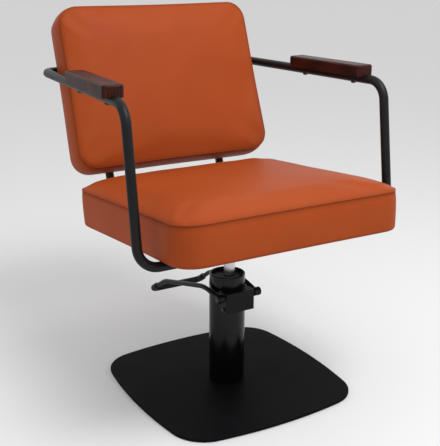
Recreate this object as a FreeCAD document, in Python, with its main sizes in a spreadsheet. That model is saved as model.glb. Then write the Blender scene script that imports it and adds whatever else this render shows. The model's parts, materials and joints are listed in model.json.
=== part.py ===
import FreeCAD, Part
import math
import os
import re

import Sketcher

# Styling chair on a hydraulic pump, as a parametric document in millimetres.
# The origin is on the floor under the pump column. +Z is up and the sitter faces -Y.

VEC = FreeCAD.Vector
doc = FreeCAD.newDocument("StylingChair")
sheet = doc.addObject("Spreadsheet::Sheet", "Sizes")

SIZES = (
    # base and its mat
    ("base_width", 520.0, "steel base plate across X"),
    ("base_depth", 520.0, "steel base plate across Y"),
    ("base_bulge", 1152.0, "radius of its bowed sides"),
    ("base_corner", 91.0, "radius of its corners"),
    ("base_thick", 6.0, "thickness of the base plate"),
    ("base_edge", 1.5, "rounding of its top edge"),
    ("mat_thick", 2.0, "rubber mat under the base"),
    ("mat_inset", 5.0, "mat set in from the plate's edge"),
    # pump column
    ("tube_od", 90.0, "pump tube outside diameter"),
    ("tube_wall", 3.0, "pump tube wall"),
    ("tube_top", 269.0, "top of the pump tube above the floor"),
    ("plug_thick", 14.0, "foot plug welded in the tube"),
    ("valve_thick", 7.0, "valve block on the foot plug"),
    ("cap_step", 0.5, "cap ring set in from the tube's face"),
    ("cap_od", "tube_od - 2 * cap_step", "cap ring outside diameter"),
    ("cap_wall", 4.5, "cap ring wall round the recess"),
    ("cap_height", 26.0, "cap ring above the tube"),
    ("spigot_depth", 5.0, "cap ring's spigot inside the tube"),
    ("spigot_wall", 4.0, "wall of that spigot"),
    ("gland_thick", 20.0, "gland that guides the rod"),
    ("fit_gap", 0.05, "radial gap of a running fit"),
    ("foot_screw_d", 8.0, "foot screw diameter"),
    ("foot_screw_len", 16.0, "foot screw overall length"),
    ("foot_head_d", 15.5, "foot screw countersunk head"),
    ("foot_pcd", 56.0, "circle of the foot screws"),
    # ram
    ("rod_x", 6.0, "rod axis to the right of the tube's axis"),
    ("rod_d", 28.0, "piston rod diameter"),
    ("rod_top", 386.0, "top of the rod above the floor"),
    ("rod_neck_d", 18.0, "turned neck that swivels in the piston"),
    ("cyl_id", 36.0, "inner cylinder bore"),
    ("cyl_wall", 4.0, "inner cylinder wall"),
    ("piston_low", 70.0, "underside of the piston above the floor"),
    ("piston_len", 20.0, "piston length"),
    ("ring_width", 4.0, "piston ring width"),
    ("ring_depth", 3.0, "piston ring groove depth"),
    ("clip_thick", 1.5, "retaining clip under the piston"),
    ("wiper_od", 42.0, "wiper seal outside diameter"),
    ("wiper_thick", 5.0, "wiper seal depth in the gland"),
    # pump head with its cross shaft
    ("head_half", "tube_od / 2 - 7", "half the width of the bracket housing"),
    ("head_front", "tube_od / 2 + 16", "front of the housing ahead of the axis"),
    ("head_low", 212.0, "underside of the housing above the floor"),
    ("head_top", 263.0, "top of the housing above the floor"),
    ("cover_thick", 2.0, "cover plate thickness"),
    ("cover_wrap", 22.0, "depth of the cover's side flanges"),
    ("shaft_d", 12.0, "cross shaft diameter"),
    ("shaft_y", "tube_od / 2 + 7", "cross shaft ahead of the axis"),
    ("shaft_z", 251.5, "cross shaft above the floor"),
    ("boss_d", 21.0, "end boss diameter"),
    ("boss_len", 18.0, "end boss length"),
    ("boss_gap", 4.0, "gap between boss and cover"),
    ("lever_len", 21.0, "shaft to plunger"),
    ("lever_thick", 10.0, "lever thickness"),
    ("lever_hub", 8.7, "radius of the lever round the shaft"),
    ("lever_nose", 5.0, "radius of the lever's nose"),
    ("slot_low", 236.0, "bottom of the lever's slot above the floor"),
    ("slot_top", 261.2, "top of the lever's slot above the floor"),
    ("slot_half", 7.0, "half the width of that slot"),
    ("bolt_d", 5.0, "cover bolt diameter"),
    ("bolt_head_d", 9.0, "cover bolt head"),
    # plunger
    ("plunger_d", 12.0, "pump plunger diameter"),
    ("plunger_low", 118.0, "bottom of the plunger above the floor"),
    ("barrel_wall", 3.0, "plunger barrel wall"),
    ("barrel_top", 212.0, "top of the barrel above the floor"),
    ("collar_drop", 8.0, "spring collar below the plunger's top"),
    ("collar_thick", 3.0, "spring collar thickness"),
    ("spring_wire", 1.6, "return spring wire"),
    ("spring_turns", 5.0, "return spring turns"),
    ("touch_gap", 0.05, "gap between lever and plunger at rest"),
    # foot pedal
    ("pedal_d", 12.0, "pedal rod diameter"),
    ("pedal_back", 275.0, "pedal bar behind the axis"),
    ("pedal_z", 170.0, "pedal bar above the floor"),
    ("pedal_half", 74.0, "half the width of the pedal at its bar"),
    ("pedal_bend", 16.0, "bend radius beside the bar"),
    ("pedal_rise", 10.5, "pedal arm's front bend above the shaft"),
    ("pedal_rise_y", 18.0, "that bend behind the axis"),
    ("front_bend", 110.0, "radius of that bend"),
    ("pedal_drop", 46.0, "pedal arm's rear bend above the bar"),
    ("pedal_drop_in", 70.0, "that bend ahead of the bar"),
    ("drop_bend", 70.0, "radius of that bend"),
    ("sleeve_lead", 34.0, "sleeve carried round onto each arm"),
    ("sleeve_od", 17.5, "rubber sleeve outside diameter"),
    # seat
    ("seat_z", 417.5, "underside of the seat over the axis"),
    ("seat_tilt", 4.8, "seat slope in degrees, front higher"),
    ("seat_width", 584.0, "seat cushion width"),
    ("seat_depth", 562.0, "seat cushion depth"),
    ("seat_ahead", 19.7, "seat cushion's centre ahead of the axis"),
    ("seat_border", 93.0, "seat underside to its top seam"),
    ("seat_crown", 36.0, "rise of the crown above the seam"),
    ("seat_corner", 55.0, "seat corner radius"),
    ("board_thick", 15.0, "seat board thickness"),
    ("board_inset", 8.0, "board set in from the cushion's edge"),
    ("dust_thick", 0.8, "dust cover under the board"),
    ("skin_thick", 1.5, "leather on the cushions"),
    # backrest
    ("back_y", 248.4, "front of the backrest's lower edge behind the axis"),
    ("back_z", 527.0, "that edge above the floor"),
    ("back_lean", 19.5, "backrest lean in degrees"),
    ("back_width", 556.0, "backrest width at the bottom"),
    ("back_taper", 8.0, "narrowing on each side up to the top"),
    ("back_height", 421.0, "backrest height along its lean"),
    ("back_thick", 82.0, "backrest thickness at its edge"),
    ("back_crown", 22.0, "rise of its crown ahead of the seam"),
    ("back_corner", 47.5, "backrest corner radius"),
    ("back_board", 12.0, "back board thickness"),
    ("panel_thick", 5.0, "upholstered rear panel thickness"),
    # tube frame
    ("frame_od", 22.0, "frame tube outside diameter"),
    ("frame_wall", 2.0, "frame tube wall"),
    ("frame_bend", 48.0, "bend radius of the frame"),
    ("rear_bend", 30.0, "bend radius behind the backrest"),
    ("hoop_clear", 45.5, "hoop's legs outside the seat's sides"),
    ("hoop_half", "seat_width / 2 + hoop_clear", "half the width of the hoop at the front"),
    ("rear_clear", 20.5, "hoop's rear corners outside the backrest's sides"),
    ("hoop_rear_half", "back_width / 2 + rear_clear", "half the width of the hoop at the rear"),
    ("hoop_foot", 189.5, "lower cross tube ahead of the axis, along the seat"),
    ("hoop_front", 143.3, "arm's front corner ahead of the axis"),
    ("arm_z", 760.2, "arm tube above the floor"),
    ("rail_half", 169.0, "half the distance between the rails"),
    ("rail_bend", 50.0, "bend radius of the rails"),
    ("cope_gap", 0.05, "gap between a coped rail end and the tube it meets"),
    # armrest pads
    ("pad_len", 267.0, "armrest pad length"),
    ("pad_width", 49.0, "armrest pad width"),
    ("pad_height", 28.0, "armrest pad height"),
    ("pad_front", 84.0, "pad's front end ahead of the axis"),
    ("pad_let_in", 5.5, "tube let into the pad"),
    ("pad_edge", 5.0, "rounding of the pad's edges"),
    ("pad_screw_d", 5.0, "pad screw diameter"),
    ("pad_screw_len", 22.0, "pad screw below its tip"),
    ("pad_screw_in", 42.0, "pad screws set in from the pad's ends"),
    ("button_d", 14.0, "button head diameter"),
    # under-seat mount
    ("bar_half", 70.0, "cross bars ahead of and behind the axis"),
    ("bar_width", 30.0, "cross bar width"),
    ("bar_height", 20.0, "cross bar height"),
    ("bar_wall", 2.0, "cross bar wall"),
    ("hub_width", 150.0, "hub plate width"),
    ("hub_depth", 176.0, "hub plate depth"),
    ("hub_thick", 6.0, "hub plate thickness"),
    ("socket_od", 50.0, "hub socket outside diameter"),
    ("socket_low", 338.0, "lower end of the socket above the floor"),
    ("lock_d", 10.0, "socket lock screw diameter"),
    ("lock_z", 358.0, "socket lock screw above the floor"),
    ("hub_bolt_d", 8.0, "hub bolt diameter"),
    ("hub_bolt_x", 52.0, "hub bolts either side of the axis"),
    ("seat_screw_d", 6.0, "seat screw diameter"),
    ("seat_screw_x", 122.0, "seat screws either side of the axis"),
    ("drill_gap", 0.1, "radial gap round a screw in a drilled hole"),
    # tabs that hold the backrest
    ("tab_width", 34.0, "back tab width"),
    ("tab_height", 40.0, "back tab height"),
    ("tab_thick", 3.0, "back tab thickness"),
    ("tab_low", 90.0, "lower tabs above the backrest's edge"),
    ("tab_high", 200.0, "upper tabs above the backrest's edge"),
    ("back_screw_len", 16.0, "back screw below its head"),
)

for row, (alias, value, note) in enumerate(SIZES, 1):
    sheet.set(f"A{row}", note)
    sheet.set(f"B{row}", f"={value}" if isinstance(value, str) else str(value))
    sheet.setAlias(f"B{row}", alias)
doc.recompute()
VALUES = {alias: float(sheet.get(alias)) for alias, _, _ in SIZES}


# ---------------------------------------------------------------- helpers

def cells(text):
    """The expression with each size written as a cell of the sheet."""
    return re.sub(r"\b([a-z]+(?:_[a-z]+)+)\b", r"Sizes.\1", str(text))


def num(text):
    """The value of an expression on the sheet's sizes."""
    plain = re.sub(r"\b([a-z]+(?:_[a-z]+)+)\b", lambda m: f"({VALUES[m.group(1)]})", str(text))
    return FreeCAD.Units.Quantity(plain).Value


def bind(obj, **sums):
    """Ties properties of an object to sums of sizes."""
    for name, text in sums.items():
        obj.setExpression(name.replace("__", "."), cells(text))
    return obj


def new_body(label):
    """An empty body with its label."""
    body = doc.addObject("PartDesign::Body", label)
    body.Label = label
    return body


def new_sketch(body, role="XY_Plane", offset="0"):
    """A sketch on one of the body's own planes, set off along the plane's normal."""
    sketch = body.newObject("Sketcher::SketchObject", body.Name + "_sketch")
    base = next(p for p in body.Origin.OriginFeatures if p.Role == role)
    sketch.AttachmentSupport = (base, "")
    sketch.MapMode = "FlatFace"
    sketch.AttachmentOffset = FreeCAD.Placement(VEC(0, 0, num(offset)), FreeCAD.Rotation())
    sketch.setExpression("AttachmentOffset.Base.z", cells(offset))
    return sketch


def pin_point(sketch, index, x, y):
    """Holds the start of one line at its place, tied to the sheet."""
    for kind, text, axis in (("DistanceX", x, -2), ("DistanceY", y, -1)):
        if abs(num(text)) < 1e-9:
            sketch.addConstraint(Sketcher.Constraint("PointOnObject", index, 1, axis))
            continue
        made = sketch.addConstraint(Sketcher.Constraint(kind, -1, 1, index, 1, num(text)))
        name = f"{kind[-1].lower()}{made}"
        sketch.renameConstraint(made, name)
        sketch.setExpression("Constraints." + name, cells(text))


def draw_polygon(sketch, corners):
    """A closed outline of straight lines through corners given as sums of sizes."""
    spots = [VEC(num(x), num(y), 0) for x, y in corners]
    first = sketch.GeometryCount
    count = len(spots)
    for i, spot in enumerate(spots):
        sketch.addGeometry(Part.LineSegment(spot, spots[(i + 1) % count]), False)
    for i in range(count):
        sketch.addConstraint(
            Sketcher.Constraint("Coincident", first + i, 2, first + (i + 1) % count, 1))
    for i, (x, y) in enumerate(corners):
        pin_point(sketch, first + i, x, y)


def draw_rectangle(sketch, x0, x1, y0, y1):
    """A rectangle between two pairs of sums."""
    draw_polygon(sketch, ((x0, y0), (x1, y0), (x1, y1), (x0, y1)))


def draw_circle(sketch, radius, x="0", y="0"):
    """A circle, with its centre and radius tied to the sheet."""
    centre = VEC(num(x), num(y), 0)
    index = sketch.addGeometry(Part.Circle(centre, VEC(0, 0, 1), num(radius)), False)
    made = sketch.addConstraint(Sketcher.Constraint("Radius", index, num(radius)))
    sketch.renameConstraint(made, f"radius{made}")
    sketch.setExpression(f"Constraints.radius{made}", cells(radius))
    for kind, text, axis in (("DistanceX", x, -2), ("DistanceY", y, -1)):
        if abs(num(text)) < 1e-9:
            sketch.addConstraint(Sketcher.Constraint("PointOnObject", index, 3, axis))
            continue
        made = sketch.addConstraint(Sketcher.Constraint(kind, -1, 1, index, 3, num(text)))
        sketch.renameConstraint(made, f"centre{made}")
        sketch.setExpression(f"Constraints.centre{made}", cells(text))


def draw_bowed_square(sketch, inset):
    """The base outline: four bowed sides joined by round corners."""
    bow = num("base_bulge - " + inset)
    round_r = num("base_corner - " + inset)
    ahead = num("base_width / 2 - base_bulge")
    beside_it = num("base_depth / 2 - base_bulge")
    sides = (VEC(ahead, 0, 0), VEC(0, beside_it, 0), VEC(-ahead, 0, 0), VEC(0, -beside_it, 0))
    # a corner's centre is as far from both neighbouring sides' centres
    gap = math.hypot(ahead, beside_it)
    reach = math.sqrt((bow - round_r) ** 2 - gap ** 2 / 4)
    kx = ahead / 2 + abs(beside_it) / gap * reach
    ky = beside_it / 2 + abs(ahead) / gap * reach
    corners = (VEC(kx, ky, 0), VEC(-kx, ky, 0), VEC(-kx, -ky, 0), VEC(kx, -ky, 0))
    arcs = []
    for i in range(4):
        arcs.append((sides[i], bow, corners[i - 1] - sides[i], corners[i] - sides[i]))
        arcs.append((corners[i], round_r, corners[i] - sides[i], corners[i] - sides[(i + 1) % 4]))
    for centre, radius, start, end in arcs:
        angles = [math.atan2(way.y, way.x) for way in (start, end)]
        if angles[1] < angles[0]:
            angles[1] += 2 * math.pi
        circle = Part.Circle(centre, VEC(0, 0, 1), radius)
        sketch.addGeometry(Part.ArcOfCircle(circle, *angles), False)
    for i in range(8):
        sketch.addConstraint(Sketcher.Constraint("Tangent", i, 2, (i + 1) % 8, 1))
    sums = ("base_width / 2 - base_bulge", "base_depth / 2 - base_bulge",
            "base_bulge - base_width / 2", "base_bulge - base_depth / 2")
    for i, text in enumerate(sums):
        along, across = ("DistanceX", -1) if i % 2 == 0 else ("DistanceY", -2)
        sketch.addConstraint(Sketcher.Constraint("PointOnObject", 2 * i, 3, across))
        made = sketch.addConstraint(Sketcher.Constraint(along, -1, 1, 2 * i, 3, num(text)))
        sketch.renameConstraint(made, f"centre{i}")
        sketch.setExpression(f"Constraints.centre{i}", cells(text))
        for name, index, size in (("bow", 2 * i, "base_bulge"), ("round", 2 * i + 1, "base_corner")):
            radius = f"{size} - {inset}"
            made = sketch.addConstraint(Sketcher.Constraint("Radius", index, num(radius)))
            sketch.renameConstraint(made, f"{name}{i}")
            sketch.setExpression(f"Constraints.{name}{i}", cells(radius))


def pad(body, sketch, length, reverse=False):
    """Pads a sketch by a sum of sizes."""
    made = body.newObject("PartDesign::Pad", sketch.Name + "_pad")
    made.Profile = sketch
    made.Length = num(length)
    made.setExpression("Length", cells(length))
    made.Reversed = reverse
    sketch.Visibility = False
    body.Tip = made
    doc.recompute()
    return made


def pocket(body, sketch, length):
    """Cuts a sketch into the body by a sum of sizes, on the side where the body is."""
    before = body.Shape.Volume
    made = body.newObject("PartDesign::Pocket", sketch.Name + "_pocket")
    made.Profile = sketch
    made.Length = num(length)
    made.setExpression("Length", cells(length))
    body.Tip = made
    doc.recompute()
    if not body.Shape.Volume < before - 1e-6:
        made.Reversed = True
        doc.recompute()
    return made


def round_edges(body, chosen, radius):
    """Rounds the body's edges that a test picks out."""
    base = body.Tip
    names = [f"Edge{i}" for i, edge in enumerate(base.Shape.Edges, 1) if chosen(edge)]
    made = body.newObject("PartDesign::Fillet", body.Name + "_round")
    made.Base = (base, names)
    made.Radius = num(radius)
    made.setExpression("Radius", cells(radius))
    body.Tip = made
    doc.recompute()
    return made


def runs_along(edge, axis):
    """Whether an edge is straight and parallel to an axis."""
    ends = [v.Point for v in edge.Vertexes]
    if len(ends) < 2 or edge.Curve.TypeId != "Part::GeomLine":
        return False
    way = (ends[1] - ends[0]).normalize()
    return abs(abs(way.dot(axis)) - 1) < 1e-6


def lies_at(edge, axis, place):
    """Whether the whole of an edge lies in the plane at a place along an axis."""
    low = min(v.Point.dot(axis) for v in edge.Vertexes)
    high = max(v.Point.dot(axis) for v in edge.Vertexes)
    middle = edge.valueAt((edge.FirstParameter + edge.LastParameter) / 2).dot(axis)
    return max(abs(low - place), abs(high - place), abs(middle - place)) < 1e-4


def turned(label, profile, x="0", y="0", z="0"):
    """A piece turned about its own vertical axis, from (radius, height) corners."""
    body = new_body(label)
    sketch = new_sketch(body, "XZ_Plane")
    draw_polygon(sketch, profile)
    made = body.newObject("PartDesign::Revolution", label + "_turn")
    made.Profile = sketch
    made.ReferenceAxis = (sketch, ["V_Axis"])
    made.Angle = 360.0
    sketch.Visibility = False
    body.Tip = made
    body.Placement.Base = VEC(num(x), num(y), num(z))
    bind(body, Placement__Base__x=x, Placement__Base__y=y, Placement__Base__z=z)
    doc.recompute()
    return body


def slab(label, x0, x1, y0, y1, z0, height):
    """A rectangular plate or bar from its sums."""
    body = new_body(label)
    sketch = new_sketch(body, "XY_Plane", z0)
    draw_rectangle(sketch, x0, x1, y0, y1)
    pad(body, sketch, height)
    return body


def cut(label, base, tools):
    """A part less one or more tools."""
    tool = tools[0]
    if len(tools) > 1:
        tool = doc.addObject("Part::MultiFuse", label + "_cutters")
        tool.Shapes = tools
    made = doc.addObject("Part::Cut", label)
    made.Label = label
    made.Base = base
    made.Tool = tool
    doc.recompute()
    return made


def group(label, members):
    """Identical pieces kept together as separate solids."""
    made = doc.addObject("Part::Compound", label)
    made.Label = label
    made.Links = members
    doc.recompute()
    return made


def shaped(label, shape, place=None):
    """A piece whose shape is worked out in code from the sheet."""
    made = doc.addObject("Part::Feature", label)
    made.Label = label
    made.Shape = shape
    made.Placement = place or FreeCAD.Placement()
    return made


def rod_cutter(name, radius, start, end):
    """A round cutter between two points, its radius tied to the sheet."""
    made = doc.addObject("Part::Cylinder", name)
    made.Radius = num(radius)
    made.setExpression("Radius", cells(radius))
    made.Height = (end - start).Length
    turn = FreeCAD.Rotation(VEC(0, 0, 1), end - start)
    made.Placement = FreeCAD.Placement(start, turn)
    return made


def tube_run(points, bends, od, wall=0.0):
    """Round tube or rod along straight runs joined by bends, as one solid.

    The first and last points are the ends. With a wall the tube is hollow and open.
    """

    def section(centre, way):
        ring = Part.Face(Part.Wire([Part.Circle(centre, way, od / 2).toShape()]))
        if wall:
            hole = Part.Face(Part.Wire([Part.Circle(centre, way, od / 2 - wall).toShape()]))
            ring = ring.cut(hole)
        return ring

    pieces = []
    start = points[0]
    for i in range(1, len(points) - 1):
        before = (points[i - 1] - points[i]).normalize()
        after = (points[i + 1] - points[i]).normalize()
        half = before.getAngle(after) / 2
        enter = points[i] + before * (bends[i - 1] / math.tan(half))
        centre = points[i] + (before + after).normalize() * (bends[i - 1] / math.sin(half))
        if (enter - start).Length > 1e-6:
            pieces.append(section(start, before).extrude(enter - start))
        axis = after.cross(before).normalize()
        pieces.append(section(enter, before).revolve(centre, axis, 180 - 2 * math.degrees(half)))
        start = points[i] + after * (bends[i - 1] / math.tan(half))
    pieces.append(section(start, points[-1] - start).extrude(points[-1] - start))
    return pieces[0].multiFuse(pieces[1:]).removeSplitter()


# ---------------------------------------------------------------- frames

TILT = math.radians(num("seat_tilt"))
LEAN = math.radians(num("back_lean"))
SEAT = FreeCAD.Placement(
    VEC(num("rod_x"), 0, num("seat_z")), FreeCAD.Rotation(VEC(-1, 0, 0), num("seat_tilt")))
BACK = FreeCAD.Placement(
    VEC(num("rod_x"), num("back_y"), num("back_z")),
    FreeCAD.Rotation(VEC(-1, 0, 0), num("back_lean")))


def in_seat(body):
    """Sets a body drawn in the seat's own frame in its place."""
    body.Placement = SEAT
    return bind(body, Placement__Base__x="rod_x", Placement__Base__z="seat_z",
                Placement__Rotation__Angle="seat_tilt")


def in_back(body):
    """Sets a body drawn in the backrest's own frame in its place."""
    body.Placement = BACK
    return bind(body, Placement__Base__x="rod_x", Placement__Base__y="back_y",
                Placement__Base__z="back_z", Placement__Rotation__Angle="back_lean")


def turn_to(frame, x, y, z, axis=None):
    """A placement at a point of a frame, with local +Z turned to an axis of the frame."""
    turn = FreeCAD.Rotation(VEC(0, 0, 1), axis or VEC(0, 0, 1))
    return frame.multiply(FreeCAD.Placement(VEC(x, y, z), turn))


# ---------------------------------------------------------------- base

def base_outline(label, inset, low, height):
    """A sheet with the base's outline."""
    body = new_body(label)
    sketch = new_sketch(body, "XY_Plane", low)
    draw_bowed_square(sketch, inset)
    pad(body, sketch, height)
    return body


base_z = "mat_thick + base_thick"
plug_z = base_z + " + plug_thick"
valve_z = plug_z + " + valve_thick"


def foot_spots():
    """Centres of the foot screws."""
    reach = num("foot_pcd") / 2
    angles = [math.radians(45 + 90 * i) for i in range(4)]
    return [VEC(reach * math.cos(a), reach * math.sin(a), 0) for a in angles]


def foot_profile(extra):
    """Half outline of a countersunk screw, or of its hole with extra all round."""
    neck = f"foot_screw_d / 2 + {extra}"
    rim = f"foot_head_d / 2 + {extra}"
    return (
        ("0", "0"), (rim, "0"), (rim, "0.4"),
        (neck, "0.4 + foot_head_d / 2 - foot_screw_d / 2"), (neck, "foot_screw_len"),
        ("0", "foot_screw_len"),
    )


def foot_turned(name, extra):
    """One turned shape at each foot screw."""
    made = []
    for i, spot in enumerate(foot_spots()):
        piece = turned(f"{name}_{i}", foot_profile(extra), z="mat_thick")
        piece.setExpression("Placement.Base.x", None)
        piece.setExpression("Placement.Base.y", None)
        piece.Placement.Base = VEC(spot.x, spot.y, num("mat_thick"))
        made.append(piece)
    doc.recompute()
    return made


mat = base_outline("anti_slip_mat", "mat_inset", "0", "mat_thick")

plate_blank = base_outline("base_blank", "0", "mat_thick", "base_thick")
round_edges(plate_blank, lambda e: lies_at(e, VEC(0, 0, 1), num(base_z)), "base_edge")
base_plate = cut("base_plate", plate_blank, foot_turned("base_hole", "drill_gap"))
foot_screws = group("foot_screws", foot_turned("foot_screw", "0"))

# ---------------------------------------------------------------- pump column

plug_blank = turned("plug_blank", (
    ("0", base_z), ("tube_od / 2 - tube_wall", base_z),
    ("tube_od / 2 - tube_wall", plug_z), ("0", plug_z)))
foot_plug = cut("foot_plug", plug_blank, foot_turned("plug_hole", "0"))

valve_block = turned("valve_block", (
    ("0", plug_z), ("tube_od / 2 - tube_wall - fit_gap", plug_z),
    ("tube_od / 2 - tube_wall - fit_gap", valve_z), ("0", valve_z)))

tube_blank = turned("tube_blank", (
    ("tube_od / 2 - tube_wall", base_z), ("tube_od / 2", base_z),
    ("tube_od / 2", "tube_top"), ("tube_od / 2 - tube_wall", "tube_top")))
lever_slot = slab("lever_slot", "-slot_half", "slot_half", "-head_front", "-cyl_id / 2",
                  "slot_low", "slot_top - slot_low")
pump_tube = cut("pump_tube", tube_blank, [lever_slot])

cap_ring = turned("cap_ring", (
    ("tube_od / 2 - tube_wall - spigot_wall", "tube_top - spigot_depth"),
    ("tube_od / 2 - tube_wall", "tube_top - spigot_depth"),
    ("tube_od / 2 - tube_wall", "tube_top"),
    ("cap_od / 2", "tube_top"),
    ("cap_od / 2", "tube_top + cap_height - 1.5"),
    ("cap_od / 2 - 1.5", "tube_top + cap_height"),
    ("cap_od / 2 - cap_wall", "tube_top + cap_height"),
    ("cap_od / 2 - cap_wall", "tube_top"),
    ("tube_od / 2 - tube_wall - spigot_wall", "tube_top")))

gland_top = "tube_top + gland_thick"
gland_blank = turned("gland_blank", (
    ("0", "tube_top"), ("cap_od / 2 - cap_wall", "tube_top"),
    ("cap_od / 2 - cap_wall", gland_top), ("0", gland_top)))
gland_bore = turned("gland_bore", (
    ("0", "tube_top - 1"), ("rod_d / 2 + fit_gap", "tube_top - 1"),
    ("rod_d / 2 + fit_gap", gland_top + " - wiper_thick"),
    ("wiper_od / 2", gland_top + " - wiper_thick"),
    ("wiper_od / 2", gland_top + " + 1"), ("0", gland_top + " + 1")), x="rod_x")
rod_gland = cut("rod_gland", gland_blank, [gland_bore])

wiper_seal = turned("wiper_seal", (
    ("rod_d / 2 + fit_gap", gland_top + " - wiper_thick"),
    ("wiper_od / 2", gland_top + " - wiper_thick"),
    ("wiper_od / 2", gland_top), ("rod_d / 2 + 2.5", gland_top),
    ("rod_d / 2 + fit_gap", gland_top + " + 1.5")), x="rod_x")

inner_cylinder = turned("inner_cylinder", (
    ("cyl_id / 2", valve_z), ("cyl_id / 2 + cyl_wall", valve_z),
    ("cyl_id / 2 + cyl_wall", "tube_top"), ("cyl_id / 2", "tube_top")), x="rod_x")

# ---------------------------------------------------------------- ram

piston_top = "piston_low + piston_len"
piston_out = "cyl_id / 2 - fit_gap"
ring_low = "piston_low + piston_len / 2 - ring_width / 2"
piston = turned("piston", (
    ("rod_neck_d / 2 + fit_gap", "piston_low"), (piston_out, "piston_low"),
    (piston_out, ring_low), (piston_out + " - ring_depth", ring_low),
    (piston_out + " - ring_depth", ring_low + " + ring_width"),
    (piston_out, ring_low + " + ring_width"),
    (piston_out, piston_top), ("rod_neck_d / 2 + fit_gap", piston_top)), x="rod_x")

piston_ring = turned("piston_ring", (
    (piston_out + " - ring_depth", ring_low), (piston_out, ring_low),
    (piston_out, ring_low + " + ring_width"),
    (piston_out + " - ring_depth", ring_low + " + ring_width")), x="rod_x")

clip_top = "piston_low - fit_gap"
clip_groove = "rod_neck_d / 2 - 1.5"
piston_rod = turned("piston_rod", (
    ("0", clip_top + " - 4"), ("rod_neck_d / 2", clip_top + " - 4"),
    ("rod_neck_d / 2", clip_top + " - clip_thick"), (clip_groove, clip_top + " - clip_thick"),
    (clip_groove, clip_top), ("rod_neck_d / 2", clip_top),
    ("rod_neck_d / 2", piston_top + " + fit_gap"), ("rod_d / 2", piston_top + " + fit_gap"),
    ("rod_d / 2", "rod_top - 2"), ("rod_d / 2 - 2", "rod_top"), ("0", "rod_top")), x="rod_x")

retaining_clip = turned("retaining_clip", (
    (clip_groove, clip_top + " - clip_thick"),
    ("rod_neck_d / 2 + 3", clip_top + " - clip_thick"),
    ("rod_neck_d / 2 + 3", clip_top), (clip_groove, clip_top)), x="rod_x")

# ---------------------------------------------------------------- pump head

wrap_low = "-head_front + cover_wrap"
flange_out = "head_half + cover_thick"


def side_bolt_spots():
    """Heights and depths of the cover bolts, one on each side."""
    return [(side, VEC(0, -num("head_front") + num("cover_wrap") / 2, num("head_low") + 9))
            for side in (-1, 1)]


bolt_depth = num("cover_thick") + 10
head_blank = slab("head_blank", "-head_half", "head_half", "-head_front", "-20",
                  "head_low", "head_top - head_low")
tube_space = rod_cutter("tube_space", "tube_od / 2", VEC(0, 0, 0), VEC(0, 0, 400))
shaft_from = VEC(-200, -num("shaft_y"), num("shaft_z"))
shaft_to = VEC(200, -num("shaft_y"), num("shaft_z"))
shaft_bore = rod_cutter("shaft_bore", "shaft_d / 2 + fit_gap", shaft_from, shaft_to)
head_slot = slab("head_slot", "-slot_half", "slot_half", "-head_front", "-20",
                 "slot_low", "slot_top - slot_low")
bolt_holes = []
cover_drills = []
bolts = []
for side, spot in side_bolt_spots():
    outer = VEC(side * num(flange_out), spot.y, spot.z)
    inner = VEC(side * (num(flange_out) - bolt_depth), spot.y, spot.z)
    bolt_holes.append(rod_cutter("bolt_hole", "bolt_d / 2", inner, outer))
    cover_drills.append(rod_cutter("cover_drill", "bolt_d / 2 + drill_gap", inner, outer))
    bolt = turned("cover_bolt_one", (
        ("0", "-4"), ("bolt_head_d / 2", "-4"), ("bolt_head_d / 2", "0"),
        ("bolt_d / 2", "0"), ("bolt_d / 2", "cover_thick + 10"), ("0", "cover_thick + 10")))
    for axis in "xyz":
        bolt.setExpression("Placement.Base." + axis, None)
    bolt.Placement = FreeCAD.Placement(outer, FreeCAD.Rotation(VEC(0, 0, 1), inner - outer))
    bolts.append(bolt)
pump_head = cut("pump_head", head_blank, [tube_space, shaft_bore, head_slot] + bolt_holes)
cover_bolts = group("cover_bolts", bolts)

cover_blank = new_body("cover_blank")
cover_sketch = new_sketch(cover_blank, "XY_Plane", "head_low")
front = "-head_front - cover_thick"
draw_polygon(cover_sketch, (
    ("-" + flange_out.replace(" + ", " - "), front), (flange_out, front),
    (flange_out, wrap_low), ("head_half", wrap_low), ("head_half", "-head_front"),
    ("-head_half", "-head_front"), ("-head_half", wrap_low),
    ("-head_half - cover_thick", wrap_low)))
pad(cover_blank, cover_sketch, "head_top - head_low")
round_edges(cover_blank, lambda e: runs_along(e, VEC(0, 0, 1)) and
            abs(e.Vertexes[0].Point.y - num(front)) < 1e-6, "cover_thick")
bracket_cover = cut("bracket_cover", cover_blank, [shaft_bore, tube_space] + cover_drills)

barrel_y = "-shaft_y + lever_len"
plunger_top = "shaft_z - lever_nose - touch_gap"
collar_top = plunger_top + " - collar_drop"
plunger_barrel = turned("plunger_barrel", (
    ("plunger_d / 2 + fit_gap", valve_z), ("plunger_d / 2 + barrel_wall", valve_z),
    ("plunger_d / 2 + barrel_wall", "barrel_top"), ("plunger_d / 2 + fit_gap", "barrel_top")),
    y=barrel_y)

plunger = turned("plunger", (
    ("0", "plunger_low"), ("plunger_d / 2", "plunger_low"),
    ("plunger_d / 2", collar_top + " - collar_thick"),
    ("plunger_d / 2 + barrel_wall - 0.5", collar_top + " - collar_thick"),
    ("plunger_d / 2 + barrel_wall - 0.5", collar_top),
    ("plunger_d / 2", collar_top), ("plunger_d / 2", plunger_top), ("0", plunger_top)),
    y=barrel_y)

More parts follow.
